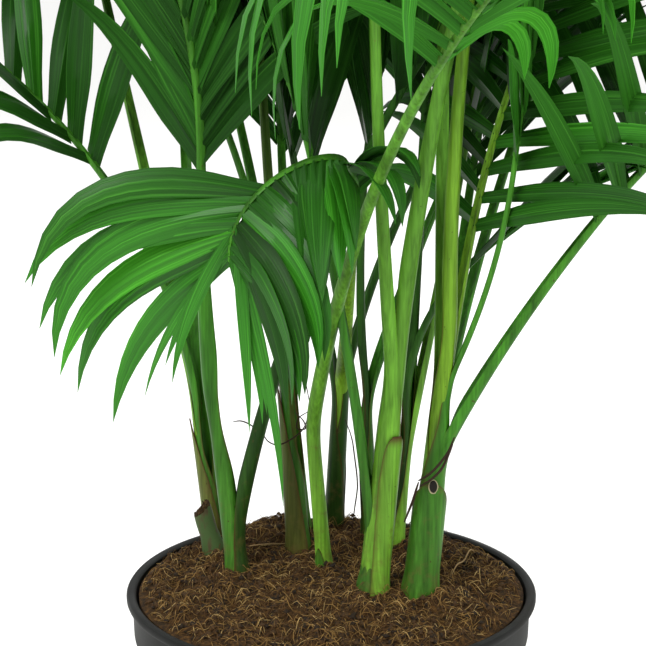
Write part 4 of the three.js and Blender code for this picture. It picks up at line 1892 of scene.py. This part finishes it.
    def add_crumb(self, arrays: MeshArrays, rng: np.random.Generator) -> None:
        """Add one crumb: a lumpy octahedron, half sunk.

        Args:
            arrays: The piece of crumbs.
            rng: The seeded source of chance.
        """
        x, y = self.spot(rng, self.crumb_reach)
        size = rng.uniform(*self.crumb_size)
        flat = self.crumb_flat
        points = np.array(
            [[1, 0, 0], [0, 1, 0], [-1, 0, 0], [0, -1, 0], [0, 0, flat], [0, 0, -flat]], float
        )
        points *= size * rng.uniform(*self.crumb_rough, (6, 1))
        turn = rng.uniform(0, math.pi)
        cos, sin = math.cos(turn), math.sin(turn)
        points[:, :2] = points[:, :2] @ np.array([[cos, sin], [-sin, cos]])
        ground = float(self.top(np.array([x]), np.array([y]))[0])
        points += [x, y, ground + self.crumb_lift * size]
        ring = np.arange(4)
        after = (ring + 1) % 4
        upper = np.stack([ring, after, np.full(4, 4)], -1)
        lower = np.stack([after, ring, np.full(4, 5)], -1)
        brown = int(rng.uniform() > self.crumb_dark)
        arrays.add(points, [np.concatenate([upper, lower])], brown)

    def add_fibre(self, arrays: MeshArrays, rng: np.random.Generator) -> None:
        """Add one husk fibre that lies on the top with its middle lifted.

        Args:
            arrays: The piece of fibres.
            rng: The seeded source of chance.
        """
        x, y = self.spot(rng, self.fibre_reach)
        step = rng.uniform(*self.fibre_length) / (self.fibre_steps - 1)
        turn = rng.uniform(0, 2 * math.pi)
        curl = rng.uniform(-self.fibre_curl, self.fibre_curl)
        hump = rng.uniform(*self.fibre_hump)
        if rng.uniform() > self.fibre_flat:
            hump += rng.uniform(*self.fibre_arch)
        part = np.linspace(0, 1, self.fibre_steps)
        heading = (turn + curl * part)[:-1]
        xs = x + np.concatenate([[0], np.cumsum(np.cos(heading))]) * step
        ys = y + np.concatenate([[0], np.cumsum(np.sin(heading))]) * step
        keep = np.minimum(1, self.fibre_keep / np.maximum(np.hypot(xs, ys), 1))
        xs, ys = xs * keep, ys * keep
        zs = self.top(xs, ys) + self.fibre_lift + hump * np.sin(math.pi * part)
        radius = rng.uniform(*self.fibre_radius)
        finish = int(rng.choice(3, p=self.fibre_colours))
        add_thread(arrays, np.stack([xs, ys, zs], -1), radius, finish)


def add_thread(
    arrays: MeshArrays, line: np.ndarray, radius: float, finish: int, sides: int = 3
) -> None:
    """Add a thin round thread along a line, tapered at both ends.

    Args:
        arrays: The piece that it is joined into.
        line: Places along it, in millimetres.
        radius: Its radius at the middle, of which about a third is left at the ends.
        finish: Number of its material.
        sides: How many sides it has.
    """
    heading = unit(np.gradient(line, axis=0))
    # A direction a little off upright, so that an upright thread has a side too
    side = unit(np.cross(heading, UP + 0.01))
    lift = np.cross(side, heading)
    turn = np.arange(sides) * 2 * math.pi / sides
    part = np.clip(np.linspace(0, 1, len(line)), 0.02, 0.98)
    width = radius * (0.35 + 0.65 * np.sin(math.pi * part) ** 0.5)
    across = np.cos(turn)[None, :, None] * side[:, None]
    ring = across + np.sin(turn)[None, :, None] * lift[:, None]
    arrays.add_tube(line[:, None] + ring * width[:, None, None], (line[0], line[-1]), finish)


@dataclass
class CutStub:
    """A cane broken off short: a green stump with a slanting, frayed, brown top."""

    cane: Cane = Cane(-74, 50, 180, 15, 35, 6.6, 5.6)
    sides: int = 26
    sunk: float = 7.0
    slant: float = 7.0
    ragged: float = 1.8
    swell: float = 0.35
    swells: float = 9.0
    rings: tuple[float, ...] = (0.0, 0.3, 0.55, 0.8, 0.94, 1.0)
    skin_rings: int = 4
    inside: tuple[tuple[float, float], ...] = ((0.2, 1.5), (3.5, 2.0), (7.0, 2.4))
    strands: int = 24
    strand_length: tuple[float, float] = (1.5, 3.5)
    strand_radius: tuple[float, float] = (0.2, 0.5)
    strand_out: tuple[float, float] = (-0.5, 0.6)
    strand_aside: tuple[float, float] = (-0.3, 0.3)
    strand_points: int = 4
    rooted: tuple[float, float] = (1.5, 0.8)
    seed: int = 23

    def build(self) -> None:
        """Make the stump's skin, its torn rim and hollow, and the strands that stand out of it."""
        cane = self.cane
        axis = cane.axis()
        side = unit(np.cross(axis, UP))
        face = np.cross(side, axis)
        turn = np.arange(self.sides) * 2 * math.pi / self.sides
        outward = np.cos(turn)[:, None] * side + np.sin(turn)[:, None] * face
        rough = np.array([noise(5, n) - 0.5 for n in range(self.sides)])
        top = cane.height - self.slant * (0.5 - 0.5 * outward[:, 0]) + self.ragged * rough
        rings = []
        for part in self.rings:
            height = -self.sunk + (top + self.sunk) * part
            radius = cane.radius(height) + self.swell * math.sin(self.swells * part)
            rings.append(cane.start() + axis * height[:, None] + outward * radius[:, None])
        for depth, wall in self.inside:
            height = top - depth
            radius = cane.radius(height) - wall
            rings.append(cane.start() + axis * height[:, None] + outward * radius[:, None])
        faces = np.arange((len(rings) - 1) * self.sides)
        torn = np.where(faces < self.skin_rings * self.sides, 0, 1)
        arrays = MeshArrays()
        arrays.add_tube(
            np.array(rings),
            (rings[0].mean(0), rings[-1].mean(0)),
            [torn, np.zeros(self.sides), np.ones(self.sides)],
        )
        below, within = self.rooted
        rng = np.random.default_rng(self.seed)
        for _ in range(self.strands):
            n = int(rng.integers(self.sides))
            height = top[n] - below
            foot = cane.start() + axis * height + outward[n] * (cane.radius(height) - within)
            lean = axis + outward[n] * rng.uniform(*self.strand_out)
            lean = unit(lean + side * rng.uniform(*self.strand_aside))
            far = np.linspace(0, rng.uniform(*self.strand_length), self.strand_points)
            add_thread(arrays, foot + lean * far[:, None], rng.uniform(*self.strand_radius), 1)
        materials = [
            StumpFinish().material(),
            # The torn top's fibre, darkest in its hollows as painted shade, like the coir
            CoirFinish("torn_stem_fibre", "#1c140b", "#3d2c17", "#6d5330", 1.2).material(),
        ]
        piece = arrays.build("cut_stub_torn", materials)
        smooth_by_angle(piece, 50)
        settle(piece, ["cut_stub"])


@dataclass
class WiryFibres:
    """Dry brown leaf fibres caught among the canes, and two pale roots on the coir."""

    thin: tuple[tuple[tuple[float, ...], ...], ...] = (
        ((-60, 22, 333), (-55, 20, 334), (-50, 20, 332), (-46, 22, 328)),
        ((-43, 30, 325), (-39, 27, 319), (-32, 26, 317), (-23, 28, 321), (-17, 31, 326),
         (-14, 34, 333)),
        ((-22, 34, 335), (-17, 30, 331), (-16, 30, 326), (-21, 31, 326), (-20, 33, 332),
         (-14, 34, 336)),
        ((-15, 40, 421), (-17, 39, 402), (-15, 41, 383), (-17, 40, 364), (-13, 39, 338)),
        ((9, 60, 323), (13, 58, 312), (15, 59, 299), (17, 61, 279), (15, 60, 262), (13, 58, 244)),
    )
    stout: tuple[tuple[tuple[float, ...], ...], ...] = (
        ((51, -35, 313), (49, -35, 306), (47, -34, 299), (43, -34, 288)),
        ((51, -35, 314), (57, -38, 319), (63, -37, 325), (68, -34, 331), (72, -30, 339)),
        ((52, -36, 311), (58, -39, 316), (64, -38, 322), (68, -35, 329), (71, -31, 335)),
    )
    pale: tuple[tuple[tuple[float, ...], ...], ...] = (
        ((93, 52, 236), (88, 40, 243), (83, 26, 241), (78, 14, 243), (74, 6, 239)),
        ((-58, 52, 240), (-44, 50, 243), (-28, 54, 242), (-12, 60, 240)),
    )
    thin_radius: float = 0.5
    stout_radius: float = 0.85
    sides: int = 5
    steps: int = 8

    def build(self) -> None:
        """Draw each fibre as a thin thread through its places."""
        arrays = MeshArrays()
        for lines, radius, finish in (
            (self.thin, self.thin_radius, 0),
            (self.stout, self.stout_radius, 0),
            (self.pale, self.thin_radius, 1),
        ):
            for places in lines:
                add_thread(arrays, self.through(places), radius, finish, self.sides)
        materials = [
            EvenFinish("dry_fibre_brown", "#2a1a0e").material(),
            EvenFinish("root_fibre_pale", "#9a7f55").material(),
        ]
        settle(arrays.build("wiry_fibres", materials), [])

    def through(self, places: tuple[tuple[float, ...], ...]) -> np.ndarray:
        """Give a smooth line through some places.

        Args:
            places: The places, in millimetres.

        Returns:
            Points along the line.
        """
        rows = np.array(places, float)
        rows = np.vstack([2 * rows[0] - rows[1], rows, 2 * rows[-1] - rows[-2]])
        part = np.linspace(0, 1, self.steps, endpoint=False)[:, None]
        line = []
        for a, b, c, d in zip(rows, rows[1:], rows[2:], rows[3:]):
            bend = 2 * a - 5 * b + 4 * c - d + part * (3 * (b - c) + d - a)
            line.append(b + 0.5 * part * (c - a + part * bend))
        return np.vstack([*line, rows[-2:-1]])


@dataclass
class Clump:
    """All canes, stalks and fronds of the plant."""

    first_layer: float = 0.3
    sheath: float = 0.7
    sheath_share: float = 0.075
    stagger: float = 0.25
    lighter_over: float = 0.8
    darker_over: float = 0.85
    scarred: str = "h"

    def build(self) -> None:
        """Make a piece of stems and a piece of leaflets for each cane."""
        stems = [finish.material() for finish in STEMS]
        stems.append(EvenFinish("scar_rim_dry", "#a39b78").material())
        # The scar's plug, near black: painted shade inside the torn mouth
        stems.append(EvenFinish("scar_mouth_painted_shade", "#140f08").material())
        greens = [finish.material() for finish in GREENS]
        for name, cane in CANES.items():
            leaves = sorted((leaf for leaf in LEAVES if leaf.cane == name), key=lambda e: e.up)
            self.build_stems(name, cane, leaves, stems)
            self.build_fronds(name, leaves, greens)

    def build_stems(
        self, name: str, cane: Cane, leaves: list[Leaf], stems: list[bpy.types.Material]
    ) -> None:
        """Make a cane's sheaths and stalks.

        Args:
            name: The cane's letter.
            cane: The cane.
            leaves: Its leaves, lowest first.
            stems: The stems' materials.
        """
        arrays = MeshArrays()
        thickness = min(self.sheath, self.sheath_share * cane.foot)
        for n, leaf in enumerate(leaves):
            layer = self.first_layer - thickness * (n + 1)
            StemSweep(leaf, LeafLine(leaf), layer, ord(name) + leaf.no).build(arrays)
        for sheath in OLD_SHEATHS:
            if sheath.cane == name:
                sheath.build(arrays)
        if name == self.scarred:
            LeafScar().build(arrays)
        piece = arrays.build(f"stems_{name}", stems)
        smooth_by_angle(piece, 50)
        stalks = [node for leaf in leaves for node in leaf.nodes() if node.startswith("stalk")]
        settle(piece, [f"cane_{name}", *stalks])

    def build_fronds(
        self, name: str, leaves: list[Leaf], greens: list[bpy.types.Material]
    ) -> None:
        """Make the leaflets of a cane's leaves.

        Args:
            name: The cane's letter.
            leaves: Its leaves.
            greens: The leaflets' materials.
        """
        arrays = MeshArrays()
        for leaf in leaves:
            line = LeafLine(leaf)
            first = RULE.first_at / leaf.blade
            last = 1 - RULE.last_short / leaf.blade
            number = LEAVES.index(leaf)
            for pair in range(leaf.pairs):
                for hand in (1, -1):
                    right = hand > 0
                    part = min(1.0, (pair + (0 if right else self.stagger)) / (leaf.pairs - 1))
                    if right and part < leaf.bare:
                        continue
                    place = first + (last - first) * part
                    seed = number * LEAF_SEEDS + pair * 2 + right
                    finish = 2 * self.shade(leaf, right, seed)
                    Leaflet(leaf, line, place, hand, seed).build(arrays, finish)
            for leaflet in Tassel().leaflets(leaf, line, number):
                leaflet.build(arrays, 2 * leaf.green)
        piece = arrays.build(f"fronds_{name}", greens)
        smooth_by_angle(piece, 40)
        fronds = [node for leaf in leaves for node in leaf.nodes() if node.startswith("frond")]
        settle(piece, fronds)

    def shade(self, leaf: Leaf, right: bool, seed: int) -> int:
        """Pick a leaflet's green near its leaf's own, one step darker as painted shade on the
        front fan's left.

        Args:
            leaf: The leaf.
            right: Whether the leaflet is on the right.
            seed: The leaflet's seed.

        Returns:
            A number from 0, deep, to 3, bright.
        """
        lighter = noise(seed, 9) > self.lighter_over
        darker = noise(seed, 10) > self.darker_over
        # Painted shade: on the front fan the leaflets on the left hang in the shade behind it, so
        # they are one green darker than those on the right
        painted_shade = leaf.bare > 0 and not right
        return int(np.clip(leaf.green + lighter - darker - painted_shade, 0, 3))


@dataclass
class Studio:
    """Camera, floor and soft light."""

    camera_at: tuple[float, float, float] = (-5.0, -1116.5, 674.8)
    pitch_down: float = 13.8
    focal_pixels: float = 1939.0
    frame_pixels: float = 646.0
    sensor: float = 36.0
    floor_size: float = 30.0
    floor_below: float = 0.5
    aim: tuple[float, float, float] = (0.0, 0.0, 0.5)
    lamps: tuple[tuple[str, tuple[float, float, float], float, float], ...] = (
        ("key_lamp", (-1.1, -1.7, 2.4), 1.1, 55),
        ("fill_lamp", (1.9, -1.5, 1.4), 1.6, 14),
        ("back_lamp", (0.5, 2.0, 2.2), 1.6, 30),
    )

    def build(self) -> None:
        """Set up the view, the floor, the lamps and the surrounding light."""
        self.build_camera()
        self.build_floor()
        self.build_room()
        for name, place, size, power in self.lamps:
            self.hang_lamp(name, place, size, power)

    def build_camera(self) -> None:
        """Place the camera at the photograph's viewing angle."""
        data = bpy.data.cameras.new("camera")
        data.sensor_width = self.sensor
        data.lens = self.sensor * self.focal_pixels / self.frame_pixels
        data.clip_end = 50
        camera = bpy.data.objects.new("camera", data)
        camera.location = [value * MM for value in self.camera_at]
        camera.rotation_euler = (math.radians(90 - self.pitch_down), 0, 0)
        bpy.context.scene.collection.objects.link(camera)
        bpy.context.scene.camera = camera

    def build_floor(self) -> None:
        """Lay a plain pale floor under the pot."""
        deselect()
        bpy.ops.mesh.primitive_plane_add(
            size=self.floor_size, location=(0, 0, -self.floor_below * MM)
        )
        floor = bpy.context.object
        floor.name = "studio_floor"
        material, tree, shader = new_material("studio_paper")
        feed(tree, shader, {"Base Color": linear("#f7f7f5"), "Roughness": 0.9})
        floor.data.materials.append(material)

    def build_room(self) -> None:
        """Light the room evenly, in plain colours."""
        scene = bpy.context.scene
        scene.view_settings.view_transform = "Standard"
        world = bpy.data.worlds.new("studio_room")
        scene.world = world
        world.use_nodes = True
        background = world.node_tree.nodes["Background"]
        background.inputs["Color"].default_value = (1.0, 1.0, 1.0, 1.0)
        background.inputs["Strength"].default_value = 1.0

    def hang_lamp(
        self, name: str, place: tuple[float, float, float], size: float, power: float
    ) -> None:
        """Hang a large soft lamp that looks at the plant.

        Args:
            name: The lamp's name.
            place: Its place, in metres.
            size: Its width, in metres.
            power: Its power, in watts.
        """
        data = bpy.data.lights.new(name, "AREA")
        data.shape = "DISK"
        data.size = size
        data.energy = power
        lamp = bpy.data.objects.new(name, data)
        lamp.location = place
        x, y, z = np.array(self.aim) - np.array(place)
        lamp.rotation_euler = (
            math.atan2(math.hypot(x, y), -z), 0, math.atan2(y, x) - math.pi / 2
        )
        bpy.context.scene.collection.objects.link(lamp)


def main() -> None:
    """Load the frame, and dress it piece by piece."""
    logging.basicConfig(level=logging.INFO, format="%(message)s")
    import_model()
    Studio().build()
    Pot().build()
    Medium().build()
    Clump().build()
    CutStub().build()
    WiryFibres().build()


if __name__ == "__main__":
    main()
